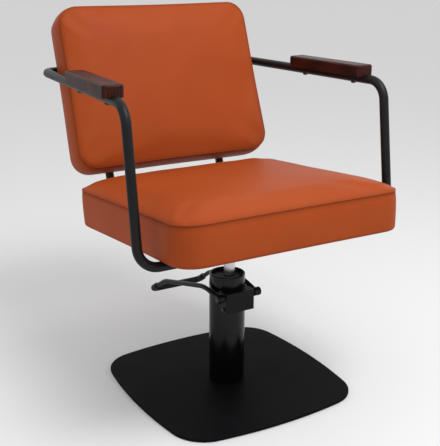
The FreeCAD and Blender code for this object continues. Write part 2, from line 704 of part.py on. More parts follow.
spring_low = num("barrel_top") + num("spring_wire") / 2
spring_high = num(collar_top + " - collar_thick") - num("spring_wire") / 2
coil = doc.addObject("Part::Helix", "spring_path")
coil.Pitch = (spring_high - spring_low) / num("spring_turns")
coil.Height = spring_high - spring_low
coil.Radius = num("plunger_d / 2 + spring_wire / 2 + 0.3")
coil.setExpression("Radius", cells("plunger_d / 2 + spring_wire / 2 + 0.3"))
doc.recompute()
wire_ring = Part.Wire([Part.Circle(VEC(coil.Radius.Value, 0, 0), VEC(0, 1, 0),
                                   num("spring_wire") / 2).toShape()])
spring_shape = Part.Wire(coil.Shape.Edges).makePipeShell([wire_ring], True, True)
return_spring = shaped("return_spring", spring_shape,
                       FreeCAD.Placement(VEC(0, num(barrel_y), spring_low), FreeCAD.Rotation()))

# ---------------------------------------------------------------- foot pedal

boss_in = "head_half + cover_thick + boss_gap"
boss_out = boss_in + " + boss_len"
cross_shaft = rod_cutter("cross_shaft", "shaft_d / 2",
                         VEC(-num(boss_out), -num("shaft_y"), num("shaft_z")),
                         VEC(num(boss_out), -num("shaft_y"), num("shaft_z")))
cross_shaft.Label = "cross_shaft"
cross_shaft.setExpression("Height", cells(f"2 * ({boss_out})"))

boss_blanks = []
for side in (-1, 1):
    blank = turned("boss_blank", (
        ("shaft_d / 2", "0"), ("boss_d / 2 - 1", "0"), ("boss_d / 2", "1"),
        ("boss_d / 2", "boss_len - 1"), ("boss_d / 2 - 1", "boss_len"),
        ("shaft_d / 2", "boss_len")))
    for axis in "xyz":
        blank.setExpression("Placement.Base." + axis, None)
    blank.Placement = FreeCAD.Placement(
        VEC(side * num(boss_in), -num("shaft_y"), num("shaft_z")),
        FreeCAD.Rotation(VEC(0, 0, 1), VEC(side, 0, 0)))
    boss_blanks.append(blank)
doc.recompute()
end_bosses = group("end_bosses", boss_blanks)

boss_mid = num(boss_in) + num("boss_len") / 2
pedal_rear = VEC(num("pedal_half"), num("pedal_back"), num("pedal_z"))
shaft_mid = VEC(boss_mid, -num("shaft_y"), num("shaft_z"))
half_run = [
    shaft_mid,
    VEC(boss_mid + 3, num("pedal_rise_y"), num("shaft_z + pedal_rise")),
    VEC(num("pedal_half") - 5, num("pedal_back - pedal_drop_in"), num("pedal_z + pedal_drop")),
    pedal_rear,
]
left_run = [VEC(-p.x, p.y, p.z) for p in half_run]
pedal_points = left_run + half_run[::-1]
side_bends = [num("front_bend"), num("drop_bend"), num("pedal_bend")]
pedal_bends = side_bends + side_bends[::-1]
pedal_shape = tube_run(pedal_points, pedal_bends, num("pedal_d"))
pedal_shape = pedal_shape.cut([blank.Shape for blank in boss_blanks] + [cross_shaft.Shape])
pedal_shape = max(pedal_shape.Solids, key=lambda solid: solid.Volume)
pedal_loop = shaped("pedal_loop", pedal_shape)

lead = (half_run[2] - pedal_rear).normalize() * num("sleeve_lead")
sleeve_points = [VEC(-pedal_rear.x - lead.x, pedal_rear.y + lead.y, pedal_rear.z + lead.z),
                 VEC(-pedal_rear.x, pedal_rear.y, pedal_rear.z), pedal_rear, pedal_rear + lead]
pedal_sleeve = shaped("pedal_sleeve", tube_run(
    sleeve_points, [num("pedal_bend")] * 2, num("sleeve_od"),
    (num("sleeve_od") - num("pedal_d")) / 2))

lever = new_body("pump_lever")
lever_sketch = new_sketch(lever, "YZ_Plane", "-lever_thick / 2")
draw_circle(lever_sketch, "lever_hub", "-shaft_y", "shaft_z")
pad(lever, lever_sketch, "lever_thick")
arm_sketch = new_sketch(lever, "YZ_Plane", "-lever_thick / 2")
draw_rectangle(arm_sketch, "-shaft_y", barrel_y, "shaft_z - lever_nose", "shaft_z + lever_nose")
pad(lever, arm_sketch, "lever_thick")
nose_sketch = new_sketch(lever, "YZ_Plane", "-lever_thick / 2")
draw_circle(nose_sketch, "lever_nose", barrel_y, "shaft_z")
pad(lever, nose_sketch, "lever_thick")
hole_sketch = new_sketch(lever, "YZ_Plane", "-lever_thick / 2")
draw_circle(hole_sketch, "shaft_d / 2", "-shaft_y", "shaft_z")
pocket(lever, hole_sketch, "lever_thick")

# ---------------------------------------------------------------- frame

tube_r = num("frame_od") / 2
hoop_x = num("hoop_half")
rear_x = num("hoop_rear_half")
foot_at = SEAT.multVec(VEC(0, -num("hoop_foot"), -tube_r))
front_at = VEC(num("rod_x"), -num("hoop_front"), num("arm_z"))
# the uprights lie against the backrest's rear face and meet the rear cross tube
upright_foot = BACK.multVec(VEC(0, num("back_thick") + tube_r, 0))
upright_way = VEC(0, math.sin(LEAN), math.cos(LEAN))
rear_at = upright_foot + upright_way * ((num("arm_z") - upright_foot.z) / upright_way.z)
rail_at = SEAT.multVec(VEC(0, 0, -tube_r))
rail_way = VEC(0, math.cos(TILT), -math.sin(TILT))
gap = upright_foot - rail_at
turn = rail_way.y * upright_way.z - rail_way.z * upright_way.y
knee_at = rail_at + rail_way * ((gap.y * upright_way.z - gap.z * upright_way.y) / turn)


def beside(point, x):
    """A point moved sideways from the chair's middle plane."""
    return VEC(num("rod_x") + x, point.y, point.z)


def hoop_tube(wall):
    """The closed hoop: lower cross tube, legs, arms and rear cross tube."""
    middle = beside(foot_at, 0)
    points = [
        middle, beside(foot_at, hoop_x), beside(front_at, hoop_x), beside(rear_at, rear_x),
        beside(rear_at, -rear_x), beside(front_at, -hoop_x), beside(foot_at, -hoop_x), middle,
    ]
    bends = [num("frame_bend")] * 2 + [num("rear_bend")] * 2 + [num("frame_bend")] * 2
    return tube_run(points, bends, num("frame_od") - 2 * wall)


def arm_frame(side):
    """Frame of one arm: local +Y runs back along its tube, +Z is up, from the pad's front."""
    start = beside(front_at, side * hoop_x)
    way = beside(rear_at, side * rear_x) - start
    way.normalize()
    spot = start + way * ((-num("pad_front") - start.y) / way.y)
    turn = FreeCAD.Rotation(VEC(0, 0, 1).cross(way) * -1, way, VEC(0, 0, 1), "YZX")
    return FreeCAD.Placement(spot, turn)


ARMS = {"left": arm_frame(-1), "right": arm_frame(1)}
hoop_outer = hoop_tube(0)
hoop_solid = hoop_outer.cut(hoop_tube(num("frame_wall")))
pad_spots = ("pad_screw_in", "pad_len - pad_screw_in")
drills = []
for arm in ARMS.values():
    for text in pad_spots:
        base = arm.multVec(VEC(0, num(text), -tube_r - 5))
        drills.append(Part.makeCylinder(num("pad_screw_d / 2 + drill_gap"), num("frame_od") + 10,
                                        base, arm.Rotation.multVec(VEC(0, 0, 1))))
hoop_frame = shaped("hoop_frame", hoop_solid.cut(drills))

for side, label in ((-1, "left_rail"), (1, "right_rail")):
    x = side * num("rail_half")
    run = [beside(foot_at, x), beside(knee_at, x), beside(rear_at, x)]
    rail = tube_run(run, [num("rail_bend")], num("frame_od"), num("frame_wall"))
    for end in (foot_at, rear_at):
        saddle = Part.makeCylinder(tube_r + num("cope_gap"), 60, beside(end, x - 30), VEC(1, 0, 0))
        rail = rail.cut(saddle)
    shaped(label, max(rail.Solids, key=lambda solid: solid.Volume))

# ---------------------------------------------------------------- armrest pads


def arm_pad(side):
    """A wooden pad with its rounded edges, let over the arm tube."""
    body = new_body(side + "_pad_blank")
    sketch = new_sketch(body, "XY_Plane", "frame_od / 2 - pad_let_in")
    draw_rectangle(sketch, "-pad_width / 2", "pad_width / 2", "0", "pad_len")
    pad(body, sketch, "pad_height")
    round_edges(body, lambda e: runs_along(e, VEC(0, 0, 1)), "pad_edge * 2")
    top = num("frame_od / 2 - pad_let_in + pad_height")
    round_edges(body, lambda e: lies_at(e, VEC(0, 0, 1), top), "pad_edge")
    body.Placement = ARMS[side]
    frame = ARMS[side]
    groove = rod_cutter(side + "_groove", "frame_od / 2", frame.multVec(VEC(0, -20, 0)),
                        frame.multVec(VEC(0, num("pad_len") + 20, 0)))
    holes = []
    tip = num("pad_screw_len") - tube_r
    for text in pad_spots:
        holes.append(rod_cutter(side + "_pad_hole", "pad_screw_d / 2",
                                frame.multVec(VEC(0, num(text), -2)),
                                frame.multVec(VEC(0, num(text), tip))))
    drilled = cut(side + "_pad_drilled", body, holes)
    return cut(side + "_arm_pad", drilled, [groove])


def button_screw(name, frame, spot, head_d, shank_d, length, head_high):
    """A button-head screw; its shank runs along local +Z from under the head."""
    made = turned(name, (
        ("0", f"-{head_high}"), (f"{head_d} * 0.3", f"-{head_high}"),
        (f"{head_d} / 2", f"-{head_high} * 0.35"), (f"{head_d} / 2", "0"),
        (f"{shank_d} / 2", "0"), (f"{shank_d} / 2", length), ("0", length)))
    for axis in "xyz":
        made.setExpression("Placement.Base." + axis, None)
    made.Placement = turn_to(frame, *spot)
    return made


left_pad = arm_pad("left")
right_pad = doc.addObject("Part::Mirroring", "right_arm_pad")
right_pad.Label = "right_arm_pad"
right_pad.Source = left_pad
right_pad.Normal = VEC(1, 0, 0)
bind(right_pad, Base__x="rod_x")
arm_screws = group("arm_screws", [
    button_screw(f"arm_screw_{side}_{i}", ARMS[side], (0, num(text), -tube_r),
                 "button_d", "pad_screw_d", "pad_screw_len", "3.2")
    for side in ("left", "right") for i, text in enumerate(pad_spots)])

# ---------------------------------------------------------------- seat

seat_low = "-seat_depth / 2 - seat_ahead"
seat_high = "seat_depth / 2 - seat_ahead"


def seat_sheet(label, inset, low, height):
    """A rounded rectangle with the seat's outline, in the seat's frame."""
    body = new_body(label)
    sketch = new_sketch(body, "XY_Plane", low)
    draw_rectangle(sketch, f"-seat_width / 2 + {inset}", f"seat_width / 2 - {inset}",
                   f"{seat_low} + {inset}", f"{seat_high} - {inset}")
    pad(body, sketch, height)
    round_edges(body, lambda e: runs_along(e, VEC(0, 0, 1)), f"seat_corner - {inset}")
    return body


def seat_screw_drill(name, extra):
    """Cutters for the seat screws, in the seat's frame."""
    made = []
    for x in (-1, 1):
        for y in (-1, 1):
            spot = VEC(x * num("seat_screw_x"), y * num("bar_half"), -num("bar_height") - 1)
            top = VEC(spot.x, spot.y, num("dust_thick + board_thick - 2"))
            made.append(rod_cutter(name, extra, SEAT.multVec(spot), SEAT.multVec(top)))
    return made


board_top = "dust_thick + board_thick"
cushion_height = "seat_border + seat_crown"
dust_blank = in_seat(seat_sheet("dust_blank", "board_inset", "0", "dust_thick"))
dust_cover = cut("dust_cover", dust_blank,
                 seat_screw_drill("dust_drill", "seat_screw_d / 2 + drill_gap"))
board_blank = in_seat(seat_sheet("board_blank", "board_inset", "dust_thick", "board_thick"))
seat_board = cut("seat_board", board_blank, seat_screw_drill("board_drill", "seat_screw_d / 2"))

crown_top = num(cushion_height)
cover_blank_seat = seat_sheet("seat_cover_blank", "0", "0", cushion_height)
round_edges(cover_blank_seat, lambda e: lies_at(e, VEC(0, 0, 1), crown_top), "seat_crown")
foam_blank_seat = seat_sheet("seat_foam_blank", "skin_thick", "skin_thick",
                             cushion_height + " - 2 * skin_thick")
foam_top = crown_top - num("skin_thick")
round_edges(foam_blank_seat, lambda e: lies_at(e, VEC(0, 0, 1), foam_top),
            "seat_crown - skin_thick")
seat_recess = in_seat(seat_sheet("seat_recess", "board_inset", "0", board_top))
in_seat(cover_blank_seat)
in_seat(foam_blank_seat)
seat_cover = cut("seat_cover", cover_blank_seat, [foam_blank_seat, seat_recess])
seat_foam = cut("seat_foam", foam_blank_seat, [seat_recess])

# ---------------------------------------------------------------- backrest


def back_sheet(label, inset, rear, height):
    """The backrest's tapered outline, padded forward from a depth behind its seam."""
    body = new_body(label)
    sketch = new_sketch(body, "XZ_Plane", f"-({rear})")
    low_x = f"back_width / 2 - {inset}"
    high_x = f"back_width / 2 - back_taper - {inset}"
    top = f"back_height - {inset}"
    draw_polygon(sketch, (
        (f"-back_width / 2 + {inset}", inset), (low_x, inset), (high_x, top),
        (f"-back_width / 2 + back_taper + {inset}", top)))
    pad(body, sketch, height)
    round_edges(body, lambda e: runs_along(e, VEC(0, 1, 0)), f"back_corner - {inset}")
    return body


TAB_SPOTS = [(x, z) for z in ("tab_low", "tab_high") for x in (-1, 1)]
tab_x = "rail_half - frame_od / 2 - tab_width / 2"


def back_drills(name, radius, deep):
    """Cutters for the back screws, through tabs, panel and board."""
    made = []
    for side, z in TAB_SPOTS:
        x = side * num(tab_x)
        start = BACK.multVec(VEC(x, num("back_thick") + num("tab_thick"), num(z)))
        end = BACK.multVec(VEC(x, num("back_thick") + num("tab_thick") - num(deep), num(z)))
        made.append(rod_cutter(name, radius, start, end))
    return made


panel_front = "back_thick - panel_thick"
panel_blank = in_back(back_sheet("panel_blank", "board_inset", "back_thick", "panel_thick"))
back_panel = cut("back_panel", panel_blank,
                 back_drills("panel_drill", "seat_screw_d / 2 + drill_gap", "back_screw_len"))
plank_blank = in_back(back_sheet("plank_blank", "board_inset", panel_front, "back_board"))
back_plank = cut("back_board", plank_blank,
                 back_drills("plank_drill", "seat_screw_d / 2", "back_screw_len"))

crown_front = -num("back_crown")
cover_blank_back = back_sheet("back_cover_blank", "0", "back_thick", "back_thick + back_crown")
round_edges(cover_blank_back, lambda e: lies_at(e, VEC(0, 1, 0), crown_front), "back_crown")
foam_blank_back = back_sheet("back_foam_blank", "skin_thick", "back_thick - skin_thick",
                             "back_thick + back_crown - 2 * skin_thick")
foam_front = crown_front + num("skin_thick")
round_edges(foam_blank_back, lambda e: lies_at(e, VEC(0, 1, 0), foam_front),
            "back_crown - skin_thick")
back_recess = in_back(back_sheet("back_recess", "board_inset", "back_thick",
                                 "back_board + panel_thick"))
in_back(cover_blank_back)
in_back(foam_blank_back)
back_cover = cut("back_cover", cover_blank_back, [foam_blank_back, back_recess])
back_foam = cut("back_foam", foam_blank_back, [back_recess])

tabs = []
for side, z in TAB_SPOTS:
    inner = f"rail_half - frame_od / 2 - tab_width"
    edges = (f"-rail_half", f"-({inner})") if side < 0 else (inner, "rail_half")
    tab = new_body("back_tab_blank")
    sketch = new_sketch(tab, "XZ_Plane", "-back_thick - tab_thick")
    draw_rectangle(sketch, edges[0], edges[1], f"{z} - tab_height / 2", f"{z} + tab_height / 2")
    pad(tab, sketch, "tab_thick")
    tabs.append(in_back(tab))
uprights = []
for side in (-1, 1):
    x = side * num("rail_half")
    uprights.append(rod_cutter("upright_space", "frame_od / 2", beside(upright_foot, x),
                               beside(rear_at, x)))
trimmed = []
for i, tab in enumerate(tabs):
    hole = back_drills("tab_drill", "seat_screw_d / 2 + drill_gap", "back_screw_len")[i]
    trimmed.append(cut(f"back_tab_{i}", tab, [uprights[i % 2], hole]))
doc.recompute()
tab_solids = [max(part.Shape.Solids, key=lambda solid: solid.Volume) for part in trimmed]
back_tabs = shaped("back_tabs", Part.makeCompound(tab_solids))

back_screws = group("back_screws", [
    button_screw(f"back_screw_{i}", turn_to(BACK, side * num(tab_x),
                                            num("back_thick + tab_thick"), num(z), VEC(0, -1, 0)),
                 (0, 0, 0), "12", "seat_screw_d", "back_screw_len", "3.5")
    for i, (side, z) in enumerate(TAB_SPOTS)])

# ---------------------------------------------------------------- under-seat mount


def hub_bolt_drill(name, radius):
    """Cutters for the hub bolts, in the seat's frame."""
    made = []
    for x in (-1, 1):
        for y in (-1, 1):
            low = VEC(x * num("hub_bolt_x"), y * num("bar_half"), -num("bar_height + hub_thick"))
            high = VEC(low.x, low.y, -num("bar_height") + 9)
            made.append(rod_cutter(name, radius, SEAT.multVec(low), SEAT.multVec(high)))
    return made


bar_blanks = []
for side in ("-", ""):
    bar = new_body("cross_bar_blank")
    sketch = new_sketch(bar, "YZ_Plane", "-rail_half + frame_od / 4")
    mid = f"{side}bar_half"
    for trim in ("0", "bar_wall"):
        draw_rectangle(sketch, f"{mid} - bar_width / 2 + {trim}", f"{mid} + bar_width / 2 - {trim}",
                       f"-bar_height + {trim}", f"-({trim})")
    pad(bar, sketch, "2 * rail_half - frame_od / 2")
    in_seat(bar)
    bar_blanks.append(bar)
bar_ends = []
for x in (-num("rail_half"), num("rail_half")):
    bar_ends.append(rod_cutter("bar_end", "frame_od / 2", beside(foot_at, x), beside(knee_at, x)))
bar_cutters = bar_ends + seat_screw_drill("bar_drill", "seat_screw_d / 2 + drill_gap")
bar_cutters += hub_bolt_drill("bar_hub_drill", "hub_bolt_d / 2 + drill_gap")
bars = [cut(f"cross_bar_{i}", blank, bar_cutters) for i, blank in enumerate(bar_blanks)]
bar_solids = [max(part.Shape.Solids, key=lambda solid: solid.Volume) for part in bars]
cross_bars = shaped("cross_bars", Part.makeCompound(bar_solids))

hub_blank = in_seat(slab("hub_blank", "-hub_width / 2", "hub_width / 2", "-hub_depth / 2",
                         "hub_depth / 2", "-bar_height - hub_thick", "hub_thick"))
hub_plate = cut("hub_plate", hub_blank,
                hub_bolt_drill("hub_drill", "hub_bolt_d / 2 + drill_gap"))

hub_screws = group("hub_bolts", [
    button_screw(f"hub_bolt_{x}{y}", SEAT,
                 (x * num("hub_bolt_x"), y * num("bar_half"), -num("bar_height + hub_thick")),
                 "14", "hub_bolt_d", "hub_thick + 8", "5")
    for x in (-1, 1) for y in (-1, 1)])
seat_screws = group("seat_screws", [
    button_screw(f"seat_screw_{x}{y}", SEAT,
                 (x * num("seat_screw_x"), y * num("bar_half"), -num("bar_height")),
                 "12", "seat_screw_d", "bar_height + dust_thick + board_thick - 2", "3.5")
    for x in (-1, 1) for y in (-1, 1)])

socket_blank = turned("socket_blank", (
    ("rod_d / 2", "socket_low"), ("socket_od / 2 - 2", "socket_low"),
    ("socket_od / 2", "socket_low + 2"), ("socket_od / 2", "seat_z"), ("rod_d / 2", "seat_z")),
    x="rod_x")
above_plate = in_seat(slab("above_plate", "-hub_width", "hub_width", "-hub_depth", "hub_depth",
                           "-bar_height - hub_thick", "100"))
lock_out = VEC(num("rod_x"), num("socket_od / 2"), num("lock_z"))
lock_in = VEC(num("rod_x"), num("rod_d / 2"), num("lock_z"))
lock_hole = rod_cutter("lock_hole", "lock_d / 2", lock_in * 1.0 - VEC(0, 4, 0), lock_out + VEC(0, 5, 0))
hub_socket = cut("hub_socket", socket_blank, [above_plate, lock_hole])

lock_head = turned("lock_head", (
    ("0", "0"), ("lock_d / 2", "0"), ("lock_d / 2", "socket_od / 2 - rod_d / 2 + 1"),
    ("lock_d / 2 + 3", "socket_od / 2 - rod_d / 2 + 1"),
    ("lock_d / 2 + 3", "socket_od / 2 - rod_d / 2 + 8"),
    ("0", "socket_od / 2 - rod_d / 2 + 8")))
for axis in "xyz":
    lock_head.setExpression("Placement.Base." + axis, None)
lock_head.Placement = FreeCAD.Placement(lock_in, FreeCAD.Rotation(VEC(0, 0, 1), VEC(0, 1, 0)))
rod_space = rod_cutter("rod_space", "rod_d / 2", VEC(num("rod_x"), 0, 300), VEC(num("rod_x"), 0, 420))
doc.recompute()
lock_screw = cut("lock_screw", lock_head, [rod_space])

# ---------------------------------------------------------------- out

NODES = (
    "anti_slip_mat", "base_plate", "foot_screws", "foot_plug", "valve_block", "pump_tube",
    "cap_ring", "rod_gland", "wiper_seal", "inner_cylinder", "plunger_barrel", "pump_head",
    "bracket_cover", "cover_bolts", "return_spring", "plunger", "piston", "piston_ring",
    "cross_shaft", "end_bosses", "pedal_loop", "pedal_sleeve", "pump_lever",
    "piston_rod", "retaining_clip", "hub_socket", "lock_screw", "hub_plate", "hub_bolts",
    "cross_bars", "seat_screws", "hoop_frame", "left_rail", "right_rail", "back_tabs",
    "back_screws", "left_arm_pad", "right_arm_pad", "arm_screws", "dust_cover", "seat_board",
    "seat_foam", "seat_cover", "back_panel", "back_board", "back_foam", "back_cover",
)

doc.recompute()
for obj in doc.Objects:
    if "Invalid" in obj.State or "Error" in obj.State:
        raise SystemExit(f"{obj.Label}: {obj.State}")
os.makedirs("parts", exist_ok=True)
for label in NODES:
    found = doc.getObjectsByLabel(label)
    if len(found) != 1:
        raise SystemExit(f"{label}: {len(found)} objects")
    shape = found[0].Shape
    if shape.isNull() or not shape.isValid():
        raise SystemExit(f"{label}: bad shape")
    shape.exportStep(f"parts/{label}.step")
    print(f"{label}: {len(shape.Solids)} solids, {shape.Volume / 1000:.1f} cm3")
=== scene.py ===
"""Styling chair: finishes, upholstery and studio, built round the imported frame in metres."""

import json
import logging
import math
from collections.abc import Callable, Mapping, Sequence
from dataclasses import dataclass
from enum import Enum

import bmesh
import bpy
from mathutils import Matrix, Vector


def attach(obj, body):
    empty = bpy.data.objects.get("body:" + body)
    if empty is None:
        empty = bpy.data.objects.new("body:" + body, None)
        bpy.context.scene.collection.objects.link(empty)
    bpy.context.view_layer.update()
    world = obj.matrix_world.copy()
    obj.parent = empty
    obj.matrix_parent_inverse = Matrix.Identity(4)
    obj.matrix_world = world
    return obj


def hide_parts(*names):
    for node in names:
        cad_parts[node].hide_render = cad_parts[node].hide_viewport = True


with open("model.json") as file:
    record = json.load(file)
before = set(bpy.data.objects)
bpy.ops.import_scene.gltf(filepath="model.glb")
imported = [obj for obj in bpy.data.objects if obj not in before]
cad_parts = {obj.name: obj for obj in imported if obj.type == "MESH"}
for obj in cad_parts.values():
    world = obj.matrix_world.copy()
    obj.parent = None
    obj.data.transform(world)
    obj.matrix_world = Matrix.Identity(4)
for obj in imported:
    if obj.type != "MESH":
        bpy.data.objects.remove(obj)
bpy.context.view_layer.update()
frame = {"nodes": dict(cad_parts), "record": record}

MM = 0.001
Colour = tuple[float, float, float]
LOG = logging.getLogger("styling_chair")


def tint(red: int, green: int, blue: int) -> Colour:
    """A display colour, 0 to 255, as the linear colour that a shader takes.

    Args:
        red: display red.
        green: display green.
        blue: display blue.

    Returns:
        The linear colour.
    """
    shares = (c / 255 for c in (red, green, blue))
    return tuple(c / 12.92 if c <= 0.04045 else ((c + 0.055) / 1.055) ** 2.4 for c in shares)


class Wire:
    """One output of a finish's node tree, whose arithmetic adds Math nodes."""

    def __init__(self, board: "Board", socket: bpy.types.NodeSocket) -> None:
        """Holds a socket and the board it is on."""
        self.board = board
        self.socket = socket

    def maths(self, operation: str, *values: "Wire | float") -> "Wire":
        """Adds one Math node with this operation."""
        return self.board.node("ShaderNodeMath", {"operation": operation}, dict(enumerate(values)))

    def __add__(self, other: "Wire | float") -> "Wire":
        """self + other."""
        return self.maths("ADD", self, other)

    def __radd__(self, other: float) -> "Wire":
        """other + self."""
        return self.maths("ADD", other, self)

    def __sub__(self, other: "Wire | float") -> "Wire":
        """self - other."""
        return self.maths("SUBTRACT", self, other)

    def __rsub__(self, other: float) -> "Wire":
        """other - self."""
        return self.maths("SUBTRACT", other, self)

    def __mul__(self, other: "Wire | float") -> "Wire":
        """self * other."""
        return self.maths("MULTIPLY", self, other)

    def __rmul__(self, other: float) -> "Wire":
        """other * self."""
        return self.maths("MULTIPLY", other, self)

    def between(self, low: float, high: float) -> "Wire":
        """This value taken from the range low to high onto 0 to 1, clamped."""
        return self.board.node("ShaderNodeMapRange", {}, {"Value": self, "From Min": low, "From Max": high})


class Board:
    """The node tree of one material, with a Principled shader to dress."""

    def __init__(self, name: str) -> None:
        """Makes the material and clears it down to its shader and output."""
        self.material = bpy.data.materials.new(name)
        self.material.use_nodes = True
        self.tree = self.material.node_tree
        self.tree.nodes.clear()
        self.shader = self.tree.nodes.new("ShaderNodeBsdfPrincipled")
        output = self.tree.nodes.new("ShaderNodeOutputMaterial")
        self.tree.links.new(self.shader.outputs[0], output.inputs[0])

    def node(
        self,
        kind: str,
        settings: Mapping[str, object],
        inputs: Mapping[int | str, object],
        output: int | str = 0,
    ) -> Wire:
        """Adds a node, sets it and feeds it.

        Args:
            kind: the node's type.
            settings: its settings, with "stops" for a ramp's (place, colour) pairs.
            inputs: a Wire or a plain value for each socket, by number or name.
            output: the socket wanted from it.

        Returns:
            That output.
        """
        made = self.tree.nodes.new(kind)
        for key, value in settings.items():
            if key == "stops":
                ramp = made.color_ramp.elements
                while len(ramp) < len(value):
                    ramp.new(0.5)
                for stop, (place, colour) in zip(ramp, value):
                    stop.position = place
                    stop.color = (*colour, 1.0)
            else:
                setattr(made, key, value)
        for key, value in inputs.items():
            self.feed(made.inputs[key], value)
        return Wire(self, made.outputs[output])

    def feed(self, socket: bpy.types.NodeSocket, value: object) -> None:
        """Links a Wire into a socket, or sets a plain value or colour on it."""
        if isinstance(value, Wire):
            self.tree.links.new(value.socket, socket)
        elif isinstance(value, tuple) and len(value) == 3 and socket.type == "RGBA":
            socket.default_value = (*value, 1.0)
        else:
            socket.default_value = value

    def place(self, stretch: tuple[float, float, float] = (1, 1, 1)) -> Wire:
        """Object coordinates, stretched along each axis."""
        here = self.node("ShaderNodeTexCoord", {}, {}, "Object")
        return self.node("ShaderNodeMapping", {}, {"Vector": here, "Scale": stretch})

    def noise(self, scale: float, detail: float = 3, rough: float = 0.5, at: Wire | None = None) -> Wire:
        """Soft noise, 0 to 1, at so many cells a metre."""
        inputs = {"Vector": at or self.place(), "Scale": scale, "Detail": detail, "Roughness": rough}
        return self.node("ShaderNodeTexNoise", {}, inputs, "Fac")

    def cells(self, scale: float, feature: str = "F1", at: Wire | None = None) -> Wire:
        """Voronoi cells at so many a metre, as the distance that the feature names."""
        inputs = {"Vector": at or self.place(), "Scale": scale}
        return self.node("ShaderNodeTexVoronoi", {"feature": feature}, inputs, "Distance")

    def attribute(self, name: str) -> Wire:
        """A number that the piece's own mesh carries."""
        return self.node("ShaderNodeAttribute", {"attribute_name": name}, {}, "Fac")

    def mix(self, share: Wire | float, first: object, second: object) -> Wire:
        """A colour from first to second by share."""
        return self.node("ShaderNodeMix", {"data_type": "RGBA"}, {0: share, 6: first, 7: second}, 2)

    def ramp(self, share: Wire, *stops: tuple[float, Colour]) -> Wire:
        """A colour ramp through these stops."""
        return self.node("ShaderNodeValToRGB", {"stops": stops}, {0: share}, 0)

    def bump(self, height: Wire, strength: float, depth: float, under: Wire | None = None) -> Wire:
        """A normal raised by a height field.

        Args:
            height: the field.
            strength: how much of it shows.
            depth: its relief in metres.
            under: a coarser bump beneath it.

        Returns:
            The normal.
        """
        inputs: dict[int | str, object] = {"Height": height, "Strength": strength, "Distance": depth}
        if under is not None:
            inputs["Normal"] = under
        return self.node("ShaderNodeBump", {}, inputs)

    def dress(self, **sockets: object) -> bpy.types.Material:
        """Feeds the shader's sockets, named with underscores, and returns the material."""
        for key, value in sockets.items():
            self.feed(self.shader.inputs[key.replace("_", " ").title().replace("Ior", "IOR")], value)
        return self.material


@dataclass(frozen=True)
class Leather:
    """Smooth corrected-grain leather, with painted shade darkening it where it turns into a seam."""

    name: str
    lit: Colour
    deep: Colour
    grain: float = 900.0
    relief: float = 0.00022
    shine: float = 0.40

    def make(self) -> bpy.types.Material:
        """Builds the material."""
        b = Board(self.name)
        pull = b.noise(5.0, 4, 0.55)
        fine = b.noise(260.0, 3, 0.6)
        # the painted seam shade mask that the cushion's mesh carries, 1 at its seams
        crease = b.attribute("crease")
        cell = b.cells(self.grain)
        base = b.mix(pull.between(0.3, 0.7) * 0.55 + fine * 0.16, self.lit, self.deep)
        # painted shade: the seam shade mask darkens the leather towards its seams and tucks; the same mask also
        # roughens it there
        base = b.mix(crease * 0.34 + (1 - cell.between(0.0, 0.5)) * 0.05, base, tuple(c * 0.40 for c in self.deep))
        pores = b.noise(2600.0, 2, 0.5)
        soft = b.bump(b.noise(34.0, 3, 0.5), 0.35, 0.0009)
        skin = b.bump(cell + pores * 0.35, 0.55, self.relief, soft)
        rough = self.shine + 0.10 * fine + 0.06 * pull + 0.12 * crease
        return b.dress(
            base_color=base, roughness=rough, normal=skin, specular_ior_level=0.07,
            sheen_weight=0.03, sheen_roughness=0.45, sheen_tint=(*self.lit, 1.0),
        )


@dataclass(frozen=True)
class Coated:
    """Black paint or powder on steel: orange peel, faint dust and rubbed places."""

    name: str
    colour: Colour
    rough: float
    peel: float = 900.0
    relief: float = 0.00008
    gloss: float = 0.28
    rub: float = 0.25

    def make(self) -> bpy.types.Material:
        """Builds the material."""
        b = Board(self.name)
        cloud = b.noise(11.0, 5, 0.6)
        fleck = b.noise(420.0, 4, 0.65)
        skin = b.noise(self.peel, 2, 0.5)
        lift = tuple(min(1.0, c * 2.1 + 0.004) for c in self.colour)
        base = b.mix(cloud.between(0.35, 0.75) * self.rub + fleck.between(0.62, 0.8) * 0.22, self.colour, lift)
        rough = self.rough + 0.10 * cloud.between(0.3, 0.8) + 0.05 * fleck
        return b.dress(
            base_color=base, roughness=rough, normal=b.bump(skin, 0.5, self.relief), specular_ior_level=self.gloss,
        )


@dataclass(frozen=True)
class Metal:
    """Bare steel, turned, drawn or blackened, with streaks along one axis."""

    name: str
    colour: Colour
    rough: float
    streak: tuple[float, float, float] = (900.0, 900.0, 40.0)
    metallic: float = 1.0

    def make(self) -> bpy.types.Material:
        """Builds the material."""
        b = Board(self.name)
        line = b.noise(1.0, 4, 0.6, b.place(self.streak))
        smear = b.noise(22.0, 4, 0.55)
        base = b.mix(smear.between(0.3, 0.75) * 0.5 + line * 0.2, self.colour, tuple(c * 0.62 for c in self.colour))
        rough = self.rough + 0.12 * smear.between(0.35, 0.8) + 0.06 * line
        return b.dress(base_color=base, roughness=rough, normal=b.bump(line, 0.25, 0.00004), metallic=self.metallic)


@dataclass(frozen=True)
class Rubber:
    """Moulded black rubber, matt and a little dusty."""

    name: str
    colour: Colour
    rough: float = 0.62
    grain: float = 1500.0

    def make(self) -> bpy.types.Material:
        """Builds the material."""
        b = Board(self.name)
        dust = b.noise(38.0, 5, 0.65)
        grain = b.cells(self.grain, "SMOOTH_F1")
        base = b.mix(dust.between(0.45, 0.8) * 0.5, self.colour, tuple(c * 1.9 + 0.006 for c in self.colour))
        rough = self.rough + 0.14 * dust
        return b.dress(base_color=base, roughness=rough, normal=b.bump(grain, 0.6, 0.00012), specular_ior_level=0.35)


